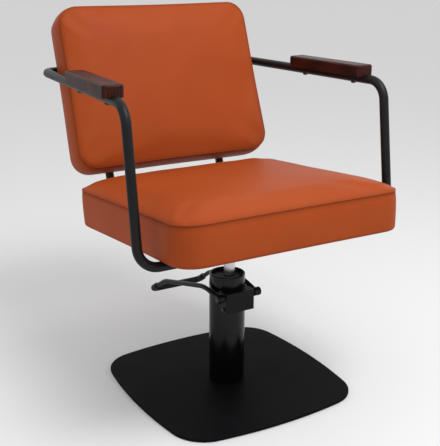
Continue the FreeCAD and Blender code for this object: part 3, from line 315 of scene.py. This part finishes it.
@dataclass(frozen=True)
class Wood:
    """Stained hardwood or plywood with grain running along one axis."""

    name: str
    light: Colour
    dark: Colour
    stretch: tuple[float, float, float]
    rough: float = 0.36
    lacquer: float = 0.25

    def make(self) -> bpy.types.Material:
        """Builds the material."""
        b = Board(self.name)
        along = b.place(self.stretch)
        figure = b.noise(1.0, 6, 0.62, along)
        band = b.node(
            "ShaderNodeTexWave", {"bands_direction": "X"},
            {"Vector": b.place(tuple(s * 0.12 for s in self.stretch)), "Scale": 1.4, "Distortion": 5.0, "Detail": 3.0},
            "Fac",
        )
        pore = b.noise(1.0, 3, 0.7, b.place(tuple(s * 6 for s in self.stretch))).between(0.6, 0.74)
        worn = b.noise(26.0, 3, 0.5).between(0.5, 0.8)
        share = figure * 0.7 + band * 0.3
        middle = tuple((x + y) / 2 for x, y in zip(self.light, self.dark))
        base = b.ramp(share, (0.25, self.dark), (0.5, middle), (0.78, self.light))
        base = b.mix(pore * 0.6, base, tuple(c * 0.35 for c in self.dark))
        base = b.mix(worn * 0.18, base, tuple(c * 1.5 for c in self.light))
        rough = self.rough + 0.14 * pore + 0.08 * worn
        normal = b.bump(figure - pore * 0.6, 0.4, 0.00016)
        return b.dress(
            base_color=base, roughness=rough, normal=normal, specular_ior_level=0.12,
            coat_weight=self.lacquer, coat_roughness=0.22,
        )


@dataclass(frozen=True)
class Cloth:
    """Spun black dust cloth or open-cell foam: a fine field of fibres or cells."""

    name: str
    colour: Colour
    pitch: float
    relief: float = 0.0002

    def make(self) -> bpy.types.Material:
        """Builds the material."""
        b = Board(self.name)
        weft = b.node("ShaderNodeTexWave", {"bands_direction": "X"}, {"Vector": b.place(), "Scale": self.pitch}, "Fac")
        warp = b.node("ShaderNodeTexWave", {"bands_direction": "Y"}, {"Vector": b.place(), "Scale": self.pitch}, "Fac")
        fibre = b.noise(self.pitch * 4, 4, 0.7)
        base = b.mix(fibre * 0.6 + weft * warp * 0.3, self.colour, tuple(c * 1.8 + 0.01 for c in self.colour))
        height = weft * warp + fibre * 0.7
        return b.dress(
            base_color=base, roughness=0.82 + 0.12 * fibre, normal=b.bump(height, 0.7, self.relief),
            sheen_weight=0.15, specular_ior_level=0.2,
        )


class Slot(Enum):
    """The record's finishes."""

    RUBBER = "rubber_black"
    SATIN = "satin_black_steel"
    GLOSS = "gloss_black_steel"
    ROD = "bright_rod"
    STEEL = "plain_steel"
    SCREW = "black_screw"
    SEAL = "seal_rubber"
    STAINED = "stained_wood"
    PLY = "plywood"
    LEATHER = "cognac_leather"
    FOAM = "foam"
    DUST = "dust_cloth"


FINISHES: dict[Slot, Leather | Coated | Metal | Rubber | Wood | Cloth] = {
    Slot.RUBBER: Rubber("black_rubber", tint(24, 24, 25)),
    Slot.SATIN: Coated("satin_black_powder", tint(12, 11, 12), 0.38, 700.0, 0.0001, 0.20),
    Slot.GLOSS: Coated("gloss_black_enamel", tint(6, 5, 5), 0.12, 160.0, 0.00010, 0.22, 0.12),
    Slot.ROD: Metal("polished_rod", (0.66, 0.64, 0.64), 0.24, (900.0, 900.0, 12.0)),
    Slot.STEEL: Metal("plain_steel", (0.48, 0.48, 0.49), 0.34),
    Slot.SCREW: Metal("black_oxide_screw", (0.045, 0.045, 0.048), 0.34, (700.0, 700.0, 700.0), 0.75),
    Slot.SEAL: Rubber("seal_rubber", tint(16, 16, 17), 0.45, 2400.0),
    Slot.STAINED: Wood("stained_hardwood", tint(62, 24, 16), tint(26, 10, 8), (240.0, 16.0, 240.0), 0.40, 0.0),
    Slot.PLY: Wood("birch_plywood", tint(206, 174, 128), tint(150, 112, 70), (20.0, 200.0, 900.0), 0.6, 0.0),
    Slot.LEATHER: Leather("cognac_leather", (0.300, 0.0530, 0.0105), (0.245, 0.0385, 0.0078)),
    Slot.FOAM: Cloth("seat_foam", tint(214, 196, 140), 500.0, 0.0006),
    Slot.DUST: Cloth("black_dust_cloth", tint(26, 26, 28), 420.0),
}


class Workshop:
    """Keeps one material for each slot, and places finished pieces on their bodies."""

    def __init__(self) -> None:
        """Starts with no materials made."""
        self.materials: dict[Slot, bpy.types.Material] = {}
        self.thread = Leather("saddle_thread", (0.150, 0.026, 0.0070), (0.10, 0.017, 0.005), 2600.0, 0.0003, 0.55).make()
        self.base = Coated("matt_black_base", tint(9, 8, 10), 0.50, 1100.0, 0.00008, 0.03).make()
        self.housing = Coated("cast_black_housing", tint(11, 10, 11), 0.34, 420.0, 0.00014, 0.14).make()

    def material(self, slot: Slot) -> bpy.types.Material:
        """The material of a slot, made once."""
        if slot not in self.materials:
            self.materials[slot] = FINISHES[slot].make()
        return self.materials[slot]

    def dress_nodes(self) -> None:
        """Gives every frame node the material of its record slot."""
        parts = frame["record"]["materials"]
        slots = {node: m["slot"] for m in parts for node in m.get("nodes", [])}
        for name, node in frame["nodes"].items():
            slot = Slot(slots.get(name, self.guess(node)))
            own = {"base_plate": self.base, "pump_head": self.housing, "bracket_cover": self.housing}
            if name == "cross_shaft":
                slot = Slot.SCREW
            for holder in node.material_slots:
                holder.material = own.get(name) or self.material(slot)
            LOG.info("node %s wears %s", name, slot.value)

    @staticmethod
    def guess(node: bpy.types.Object) -> str:
        """The slot named by the material that a node came with."""
        return node.material_slots[0].material.name.split(".")[0]

    def piece(
        self,
        name: str,
        bm: bmesh.types.BMesh,
        body: str,
        slot: Slot,
        material: bpy.types.Material | None = None,
        smooth: bool = True,
    ) -> bpy.types.Object:
        """Turns a bmesh into a finished piece.

        Args:
            name: the piece's name.
            bm: its shape in the shared frame; it is freed.
            body: the body it rides on.
            slot: the record slot it belongs to.
            material: a material other than the slot's own.
            smooth: whether its faces are shaded smooth.

        Returns:
            The object.
        """
        mesh = bpy.data.meshes.new(name)
        for face in bm.faces:
            face.smooth = smooth
        bm.to_mesh(mesh)
        bm.free()
        made = bpy.data.objects.new(name, mesh)
        bpy.context.scene.collection.objects.link(made)
        mesh.materials.append(material or self.material(slot))
        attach(made, body)
        LOG.info("piece %s: %d faces on %s", name, len(mesh.polygons), body)
        return made


def stitch_row(points: Sequence[Vector], basis: Matrix, length: float, thick: float) -> bmesh.types.BMesh:
    """Short stitches along a closed row.

    Args:
        points: the middle of each stitch, in cushion axes.
        basis: from cushion axes to the shared frame.
        length: half a stitch's length.
        thick: half a stitch's thickness.

    Returns:
        The bmesh.
    """
    bm = bmesh.new()
    for i, here in enumerate(points):
        way = (points[(i + 1) % len(points)] - points[i - 1]).normalized()
        turn = way.to_track_quat("X", "Z").to_matrix().to_4x4()
        matrix = basis @ Matrix.Translation(here) @ turn @ Matrix.Diagonal((length, thick, thick, 1.0))
        bmesh.ops.create_uvsphere(bm, u_segments=6, v_segments=4, radius=1.0, matrix=matrix)
    return bm


def loop_tube(
    points: Sequence[Vector],
    radius: float,
    sides: int = 8,
    ripple: Callable[[int], float] | None = None,
) -> bmesh.types.BMesh:
    """A closed ring of cord round a loop of points.

    Args:
        points: the loop, evenly spaced.
        radius: the cord's radius.
        sides: faces round the cord.
        ripple: a factor on the radius at each point, for a weld's scales.

    Returns:
        The bmesh.
    """
    bm = bmesh.new()
    rings: list[list[bmesh.types.BMEdge]] = []
    count = len(points)
    for i, here in enumerate(points):
        way = (points[(i + 1) % count] - points[i - 1]).normalized()
        turn = way.to_track_quat("Z", "Y").to_matrix().to_4x4()
        size = radius * (ripple(i) if ripple else 1.0)
        matrix = Matrix.Translation(here) @ turn
        made = bmesh.ops.create_circle(bm, cap_ends=False, segments=sides, radius=size, matrix=matrix)
        rings.append(list({e for v in made["verts"] for e in v.link_edges}))
    for i, ring in enumerate(rings):
        bmesh.ops.bridge_loops(bm, edges=ring + rings[(i + 1) % count])
    bmesh.ops.recalc_face_normals(bm, faces=bm.faces)
    return bm


@dataclass
class Outline:
    """A rounded rectangle that a square grid is laid onto, in metres."""

    half_x: float
    half_y: float
    corner: float
    pull: float = 0.0

    def point(self, u: float, v: float, outset: float = 0.0) -> Vector:
        """The place of grid coordinates u, v, each from -1 to 1.

        Args:
            u: across.
            v: along.
            outset: how far the outline is grown.

        Returns:
            The point in plan.
        """
        share = max(abs(u), abs(v))
        if share < 1e-9:
            return Vector((0.0, 0.0))
        a, b, r = self.half_x + outset, self.half_y + outset, max(self.corner + outset, 0.001)
        on_long = abs(v) >= abs(u)
        straight = (a if on_long else b) - r
        travel = (abs(u) if on_long else abs(v)) / share * (straight + r * math.pi / 4)
        if travel <= straight:
            along, drop = travel, self.pull * (1 - (travel / straight) ** 2) ** 2
        else:
            turn = (travel - straight) / r
            along, drop = straight + r * math.sin(turn), r * (1 - math.cos(turn))
        x, y = (along, b - drop) if on_long else (a - drop, along)
        return Vector((math.copysign(x, u) * share, math.copysign(y, v) * share))

    def loop(self, spacing: float, outset: float = 0.0) -> list[Vector]:
        """Points along the outline, evenly spaced.

        Args:
            spacing: the gap wanted between points.
            outset: how far the outline is grown.

        Returns:
            The points in plan, in order.
        """
        corners = ((1.0, -1.0), (1.0, 1.0), (-1.0, 1.0), (-1.0, -1.0))
        dense: list[Vector] = []
        for (u0, v0), (u1, v1) in zip(corners, corners[1:] + corners[:1]):
            steps = 120
            dense += [self.point(u0 + (u1 - u0) * i / steps, v0 + (v1 - v0) * i / steps, outset) for i in range(steps)]
        gaps = [(dense[(i + 1) % len(dense)] - p).length for i, p in enumerate(dense)]
        count = round(sum(gaps) / spacing)
        step, reach, done, out = sum(gaps) / count, 0.0, 0.0, []
        for i, gap in enumerate(gaps):
            while reach <= done + gap - 1e-9 and len(out) < count:
                out.append(dense[i].lerp(dense[(i + 1) % len(dense)], (reach - done) / gap))
                reach += step
            done += gap
        return out


class Row(Enum):
    """What a row of a cushion's mesh is, and whether its leather is held."""

    CROWN = 0
    SEWN = 1
    BORDER = 2
    TUCK = 3


@dataclass
class Cushion:
    """A boxed, crowned cushion over a board: one leather cover with its foam inside.

    Cushion axes are width, length and thickness, with the board's face at thickness 0.
    """

    name: str
    plan: Outline
    border: float
    crown: float
    roll: float
    rebate: float
    rebate_in: float
    basis: Matrix
    taper: float = 0.0
    cells: int = 72
    swell: float = 0.010
    hold: float = 0.0022
    start: float = 0.82
    bulge: float = 0.0016
    roll_width: float = 0.026
    undercut: float = 0.0

    def lay(self, u: float, v: float) -> tuple[float, float, float]:
        """Grid coordinates drawn towards the edge, where the crown turns fastest.

        Args:
            u: across.
            v: along.

        Returns:
            The new coordinates and their share of the way out.
        """
        share = min(1.0, max(abs(u), abs(v)))
        eased = 1 - (1 - share) ** 1.3
        scale = eased / share if share > 1e-9 else 1.0
        return u * scale, v * scale, eased

    def rise(self, share: float) -> float:
        """How far the crown stands over its seam: a rolled edge, then a shallow dome."""
        edge = min(1.0, (1 - share) * self.plan.half_y / self.roll_width)
        return self.roll * math.sqrt(max(0.0, 1 - (1 - edge) ** 2)) + (self.crown - self.roll) * (1 - share**2.4)

    def place(self, plan: Vector, height: float) -> Vector:
        """A point of the cushion in its own axes, narrowed by the taper and cut under at its low end."""
        along = plan.y / self.plan.half_y
        narrow = 1 - self.taper / self.plan.half_x * (along + 1) / 2
        lift = self.undercut * (1 - along) / 2 * min(1.0, max(0.0, height / self.border)) ** 1.6
        return Vector((plan.x * narrow, plan.y + lift, height))

    def rows(self) -> list[tuple[float, float, Row]]:
        """The rows below the crown, as outset, height and kind."""
        top, low = self.border, 0.006
        rows = [(0.0004, top - 0.0010, Row.SEWN), (-0.0010, top - 0.0022, Row.SEWN), (0.0003, top - 0.0046, Row.SEWN)]
        count = 8
        for i in range(1, count + 1):
            full = self.bulge * math.sin(math.pi * (i / count) ** 0.7)
            rows.append((0.0004 + full, top - 0.0046 + (low + 0.004 - top + 0.0046) * i / count, Row.BORDER))
        rows += [(0.0, low, Row.TUCK), (-0.0018, 0.0022, Row.TUCK), (-0.0050, 0.0006, Row.TUCK)]
        inset = -self.rebate_in + 0.0003
        rows += [(inset, height, Row.TUCK) for height in (0.0006, self.rebate * 0.5, self.rebate + 0.0002)]
        return rows

    def shell(self) -> bmesh.types.BMesh:
        """The cut and sewn cover before it is stuffed.

        Returns:
            A closed bmesh in cushion axes, with its kind and its painted seam shade mask on each vertex.
        """
        bm = bmesh.new()
        kind = bm.verts.layers.int.new("kind")
        # painted seam shade mask: how much shade is painted onto the leather at each vertex
        crease = bm.verts.layers.float.new("crease")
        us, vs = bm.verts.layers.float.new("u"), bm.verts.layers.float.new("v")
        bmesh.ops.create_grid(bm, x_segments=self.cells, y_segments=self.cells, size=1.0)
        for vert in bm.verts:
            vert[us], vert[vs], share = self.lay(vert.co.x, vert.co.y)
            vert[kind] = Row.SEWN.value if share > 0.9999 else Row.CROWN.value
            # painted shade: full at the seam, fading into the crown over a few millimetres
            vert[crease] = math.exp(-(1 - share) * self.plan.half_y / 0.0035)
            vert.co = self.place(self.plan.point(vert[us], vert[vs]), self.border + self.start * self.rise(share))
        for outset, height, row in self.rows():
            bmesh.ops.extrude_edge_only(bm, edges=[e for e in bm.edges if e.is_boundary])
            for vert in {v for e in bm.edges if e.is_boundary for v in e.verts}:
                vert[kind] = row.value
                # painted shade: strong on the sewn rows, lighter at the tuck, none on the border
                vert[crease] = {Row.SEWN: 0.9, Row.BORDER: 0.0, Row.TUCK: 0.35}[row]
                vert.co = self.place(self.plan.point(vert[us], vert[vs], outset), height)
        bmesh.ops.edgeloop_fill(bm, edges=[e for e in bm.edges if e.is_boundary])
        bmesh.ops.recalc_face_normals(bm, faces=bm.faces)
        return bm

    def stuff(self, cover: bpy.types.Object) -> None:
        """Fills the cover out over its foam with a short cloth run, held at the seams.

        Args:
            cover: the cushion object, whose mesh is replaced with the filled one.
        """
        rest = [v.co.copy() for v in cover.data.vertices]
        kinds = [cover.data.attributes["kind"].data[i].value for i in range(len(rest))]
        held = cover.vertex_groups.new(name="sewn")
        held.add([i for i, k in enumerate(kinds) if k in (Row.SEWN.value, Row.TUCK.value)], 1.0, "REPLACE")
        cloth = cover.modifiers.new("stuffing", "CLOTH")
        rules = cloth.settings
        rules.quality = 6
        rules.mass = 0.4
        rules.tension_stiffness = rules.compression_stiffness = 18
        rules.shear_stiffness = 9
        rules.bending_stiffness = 2.0
        rules.use_pressure = True
        rules.uniform_pressure_force = 4.0
        rules.effector_weights.gravity = 0.0
        rules.vertex_group_mass = "sewn"
        scene = bpy.context.scene
        for step in range(1, 21):
            scene.frame_set(step)
        graph = bpy.context.evaluated_depsgraph_get()
        full = [v.co.copy() for v in cover.evaluated_get(graph).data.vertices]
        cover.modifiers.remove(cloth)
        scene.frame_set(1)
        for vert, start, end, row in zip(cover.data.vertices, rest, full, kinds):
            limit = {Row.CROWN.value: self.swell, Row.BORDER.value: self.hold}.get(row, 0.0)
            move = end - start
            vert.co = start + move * min(1.0, limit / max(move.length, 1e-9))
        top = max(v.co.z for v in cover.data.vertices) - self.border
        LOG.info("%s swelled to %.1f mm over its seam", self.name, top / MM)

    def settle(self, cover: bpy.types.Object) -> None:
        """Evens out the crown after stuffing and brings it to its full rise."""
        bm = bmesh.new()
        bm.from_mesh(cover.data)
        kind = bm.verts.layers.int["kind"]
        free = [v for v in bm.verts if v[kind] == Row.CROWN.value]
        for _ in range(2):
            bmesh.ops.smooth_vert(
                bm, verts=free, factor=0.5, use_axis_x=True, use_axis_y=True, use_axis_z=True
            )
        top = max(v.co.z for v in free) - self.border
        for vert in free:
            vert.co.z = self.border + (vert.co.z - self.border) * self.crown / top
        bm.to_mesh(cover.data)
        bm.free()

    def build(self, shop: Workshop, body: str, replaced: Sequence[str], fill: float) -> bpy.types.Object:
        """Makes the cushion with its seam and stitches.

        Args:
            shop: makes and dresses pieces.
            body: the body it rides on.
            replaced: the frame nodes it stands for.
            fill: how tight it is, 0 to 1; not used.

        Returns:
            The cushion.
        """
        cover = shop.piece(self.name, self.shell(), body, Slot.LEATHER)
        self.stuff(cover)
        self.settle(cover)
        cover.data.transform(self.basis)
        self.refine(cover)
        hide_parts(*replaced)
        self.seam(shop, body)
        self.stitches(shop, body)
        return cover

    @staticmethod
    def refine(cover: bpy.types.Object) -> None:
        """One subdivision, the same for looks and for renders."""
        finer = cover.modifiers.new("finer", "SUBSURF")
        finer.levels = finer.render_levels = 1

    def seam(self, shop: Workshop, body: str) -> None:
        """The rolled edge where the crown panel is sewn to the border."""
        loop = [self.basis @ self.place(p, self.border - 0.0003) for p in self.plan.loop(0.006, 0.0003)]
        bm = loop_tube(loop, 0.0007, 6)
        shop.piece(f"{self.name}_seam", bm, body, Slot.LEATHER)

    def stitches(self, shop: Workshop, body: str) -> None:
        """A row of short stitches just below the seam."""
        points = [self.place(p, self.border - 0.0042) for p in self.plan.loop(0.0052, 0.0002)]
        bm = stitch_row(points, self.basis, 0.0017, 0.00042)
        shop.piece(f"{self.name}_stitches", bm, body, Slot.LEATHER, shop.thread)


SEAT_FRAME = Matrix.Translation((0.006, 0.0, 0.4175)) @ Matrix.Rotation(math.radians(-4.8), 4, "X")
BACK_FRAME = Matrix.Translation((0.006, 0.2484, 0.5270)) @ Matrix.Rotation(math.radians(-19.5), 4, "X")


@dataclass
class Upholstery:
    """The seat and back cushions, the rear panel and the cloth under the seat."""

    seat_half: tuple[float, float] = (0.292, 0.281)
    back_half: tuple[float, float] = (0.278, 0.2105)
    back_thick: float = 0.082
    board_in: float = 0.008
    panel: float = 0.005

    def seat(self, shop: Workshop) -> None:
        """Builds the seat cushion."""
        basis = SEAT_FRAME @ Matrix.Translation((0.0, -0.0197, 0.0))
        plan = Outline(*self.seat_half, 0.055, 0.0015)
        Cushion("seat_cushion", plan, 0.093, 0.036, 0.018, 0.0158, self.board_in, basis).build(
            shop, "chair", ("seat_cover", "seat_foam"), 0.9
        )

    def facing(self, forward: bool, face: float) -> Matrix:
        """Cushion axes on the backrest, looking forward or to the rear.

        Args:
            forward: whether thickness grows towards the sitter.
            face: where thickness 0 is, behind the backrest's front seam.

        Returns:
            The matrix from cushion axes to the shared frame.
        """
        way = -1.0 if forward else 1.0
        axes = Matrix(((-way, 0, 0, 0), (0, 0, way, face), (0, 1, 0, self.back_half[1]), (0, 0, 0, 1)))
        return BACK_FRAME @ axes

    def back(self, shop: Workshop) -> None:
        """Builds the back cushion."""
        plan = Outline(*self.back_half, 0.0475, 0.0015)
        Cushion(
            "back_cushion", plan, self.back_thick, 0.022, 0.011, 0.017, self.board_in,
            self.facing(True, self.back_thick), 0.008, bulge=0.0045, roll_width=0.022, undercut=0.011,
        ).build(shop, "chair", ("back_cover", "back_foam"), 0.9)

    def rear_panel(self, shop: Workshop) -> None:
        """Builds the thin leather panel that closes the backrest's rear."""
        plan = Outline(*(h - self.board_in - 0.0002 for h in self.back_half), 0.0395)
        basis = self.facing(False, self.back_thick - self.panel)
        panel = Cushion("rear_panel", plan, 0.0036, 0.0013, 0.0008, 0.0, 0.0, basis, 0.008, 48, roll_width=0.012)
        bm = bmesh.new()
        # painted seam shade mask for the panel's leather
        crease = bm.verts.layers.float.new("crease")
        us, vs = bm.verts.layers.float.new("u"), bm.verts.layers.float.new("v")
        bmesh.ops.create_grid(bm, x_segments=panel.cells, y_segments=panel.cells, size=1.0)
        for vert in bm.verts:
            vert[us], vert[vs], share = panel.lay(vert.co.x, vert.co.y)
            # painted shade: strongest at the panel's edge, fading inward
            vert[crease] = math.exp(-(1 - share) * plan.half_y / 0.004)
            vert.co = panel.place(plan.point(vert[us], vert[vs], -0.0015), panel.border + panel.rise(share))
        for outset, height in ((-0.0003, 0.0030), (0.0, 0.0018), (0.0, 0.0001)):
            bmesh.ops.extrude_edge_only(bm, edges=[e for e in bm.edges if e.is_boundary])
            for vert in {v for e in bm.edges if e.is_boundary for v in e.verts}:
                vert.co = panel.place(plan.point(vert[us], vert[vs], outset), height)
        bmesh.ops.edgeloop_fill(bm, edges=[e for e in bm.edges if e.is_boundary])
        bmesh.ops.recalc_face_normals(bm, faces=bm.faces)
        bm.transform(basis)
        made = shop.piece("rear_panel", bm, "chair", Slot.LEATHER)
        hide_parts("back_panel")
        points = [panel.place(p, 0.00395) for p in plan.loop(0.0055, -0.011)]
        bm = stitch_row(points, basis, 0.0019, 0.0005)
        shop.piece("rear_panel_stitches", bm, "chair", Slot.LEATHER, shop.thread)

    def dust_cloth(self, shop: Workshop) -> None:
        """Builds the cloth stapled under the seat board, with its staples."""
        plan = Outline(*(h - self.board_in for h in self.seat_half), 0.046)
        basis = SEAT_FRAME @ Matrix.Translation((0.0, -0.0197, 0.0))
        bm = bmesh.new()
        bmesh.ops.create_grid(bm, x_segments=40, y_segments=40, size=1.0)
        for vert in bm.verts:
            share = max(abs(vert.co.x), abs(vert.co.y))
            ease = 0.00012 * math.sin(vert.co.x * 37.0) * math.sin(vert.co.y * 31.0)
            flat = plan.point(vert.co.x, vert.co.y, -0.0008)
            vert.co = (flat.x, flat.y, 0.0004 + ease * (1 - share))
        bmesh.ops.solidify(bm, geom=bm.faces[:], thickness=0.0004)
        bmesh.ops.recalc_face_normals(bm, faces=bm.faces)
        bm.transform(basis)
        made = shop.piece("seat_dust_cloth", bm, "chair", Slot.DUST)
        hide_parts("dust_cover")
        bm = bmesh.new()
        points = plan.loop(0.034, -0.009)
        for i, here in enumerate(points):
            if abs(abs(here.x) - 0.169) < 0.020 and here.y > 0 or abs(here.y - 0.0197 + 0.1895) < 0.022:
                continue
            way = points[(i + 1) % len(points)] - points[i - 1]
            turn = Matrix.Rotation(math.atan2(way.y, way.x), 4, "Z")
            matrix = basis @ Matrix.Translation((here.x, here.y, -0.0002)) @ turn
            cube = bmesh.ops.create_cube(bm, size=1.0, matrix=matrix @ Matrix.Diagonal((0.011, 0.0012, 0.0006, 1.0)))
            edges = list({e for v in cube["verts"] for e in v.link_edges})
            bmesh.ops.bevel(
                bm, geom=edges, offset=0.0002, offset_type="OFFSET", affect="EDGES",
                segments=1, profile=0.5, material=-1,
            )
        shop.piece("seat_staples", bm, "chair", Slot.STEEL)


@dataclass
class Welds:
    """Rippled fillet welds where the seat rails meet the hoop at both ends."""

    bead: float = 0.0024
    pitch: float = 0.0030
    tube: float = 0.011
    rail: float = 0.169
    foot: float = 0.1895
    behind: float = 0.082
    arm: float = 0.7602

    def ring(self, shop: Workshop, name: str, centre: Vector, way: Vector, radius: float, body: str) -> None:
        """One weld round a tube.

        Args:
            shop: makes and dresses pieces.
            name: the piece's name.
            centre: the middle of the weld.
            way: the tube's direction there.
            radius: the tube's radius.
            body: the body it rides on.
        """
        count = max(24, round(2 * math.pi * radius / self.pitch) * 2)
        turn = way.normalized().to_track_quat("Z", "Y").to_matrix()
        angles = [2 * math.pi * i / count for i in range(count)]
        ring = [centre + turn @ Vector((radius * math.cos(a), radius * math.sin(a), 0.0)) for a in angles]
        bm = loop_tube(ring, self.bead, 8, lambda i: 0.86 if i % 2 else 1.06)
        shop.piece(name, bm, body, Slot.SATIN)

    def build(self, shop: Workshop) -> None:
        """Welds the rails to the hoop at both ends."""
        for side, x in (("left", -self.rail), ("right", self.rail)):
            front = SEAT_FRAME @ Vector((x, -self.foot + self.tube, -self.tube))
            self.ring(shop, f"{side}_rail_front_weld", front, SEAT_FRAME.to_3x3() @ Vector((0, 1, 0)), self.tube, "chair")
            lean = BACK_FRAME.to_3x3() @ Vector((0, 0, 1))
            start = BACK_FRAME @ Vector((x, self.behind + self.tube, 0.0))
            top = start + lean * ((self.arm - start.z) / lean.z - self.tube)
            self.ring(shop, f"{side}_rail_top_weld", top, lean, self.tube, "chair")


@dataclass
class Studio:
    """A pale floor, soft lights and the camera."""

    floor: Colour = (0.64, 0.64, 0.64)

    def camera(self) -> None:
        """Stands the camera at the front left, a little above the seat."""
        data = bpy.data.cameras.new("studio_camera")
        data.lens, data.sensor_width = 68.48, 36.0
        data.shift_x, data.shift_y = 0.0294, -0.001
        made = bpy.data.objects.new("studio_camera", data)
        made.location = (-1.0339, -1.6886, 1.0421)
        made.rotation_euler = (math.radians(72.66), 0.0, math.radians(-30.01))
        bpy.context.scene.collection.objects.link(made)
        bpy.context.scene.camera = made

    def light(
        self,
        name: str,
        place: tuple[float, float, float],
        aim: tuple[float, float, float],
        size: tuple[float, float],
        power: float,
    ) -> None:
        """One soft box.

        Args:
            name: its name.
            place: where it hangs.
            aim: what it points at.
            size: its width and height.
            power: in watts.
        """
        data = bpy.data.lights.new(name, "AREA")
        data.shape, data.energy = "RECTANGLE", power
        data.size, data.size_y = size
        made = bpy.data.objects.new(name, data)
        made.location = place
        made.rotation_euler = (Vector(aim) - Vector(place)).to_track_quat("-Z", "Y").to_euler()
        bpy.context.scene.collection.objects.link(made)

    def build(self) -> None:
        """Lays the floor and sets the light and the sky."""
        bm = bmesh.new()
        bmesh.ops.create_grid(bm, x_segments=1, y_segments=1, size=30.0)
        mesh = bpy.data.meshes.new("studio_floor")
        bm.to_mesh(mesh)
        bm.free()
        floor = bpy.data.objects.new("studio_floor", mesh)
        bpy.context.scene.collection.objects.link(floor)
        b = Board("pale_floor")
        mesh.materials.append(b.dress(base_color=(*self.floor, 1.0), roughness=0.9, specular_ior_level=0.0))
        world = bpy.data.worlds.new("studio_sky")
        world.use_nodes = True
        sky = world.node_tree.nodes["Background"]
        sky.inputs["Color"].default_value = (1.0, 1.0, 1.0, 1.0)
        sky.inputs["Strength"].default_value = 1.0
        bpy.context.scene.world = world
        self.light("key_box", (0.45, -1.25, 2.75), (0.0, 0.0, 0.5), (1.3, 1.0), 55.0)


def set_tone() -> None:
    """Shows colours as they are, with no film curve over them."""
    bpy.context.scene.view_settings.view_transform = "Standard"


def main() -> None:
    """Builds the studio, the finishes and the pieces."""
    logging.basicConfig(level=logging.INFO, format="%(message)s")
    studio = Studio()
    studio.camera()
    shop = Workshop()
    shop.dress_nodes()
    cover = Upholstery()
    cover.seat(shop)
    cover.back(shop)
    cover.rear_panel(shop)
    cover.dust_cloth(shop)
    Welds().build(shop)
    studio.build()
    set_tone()


if __name__ == "__main__":
    main()
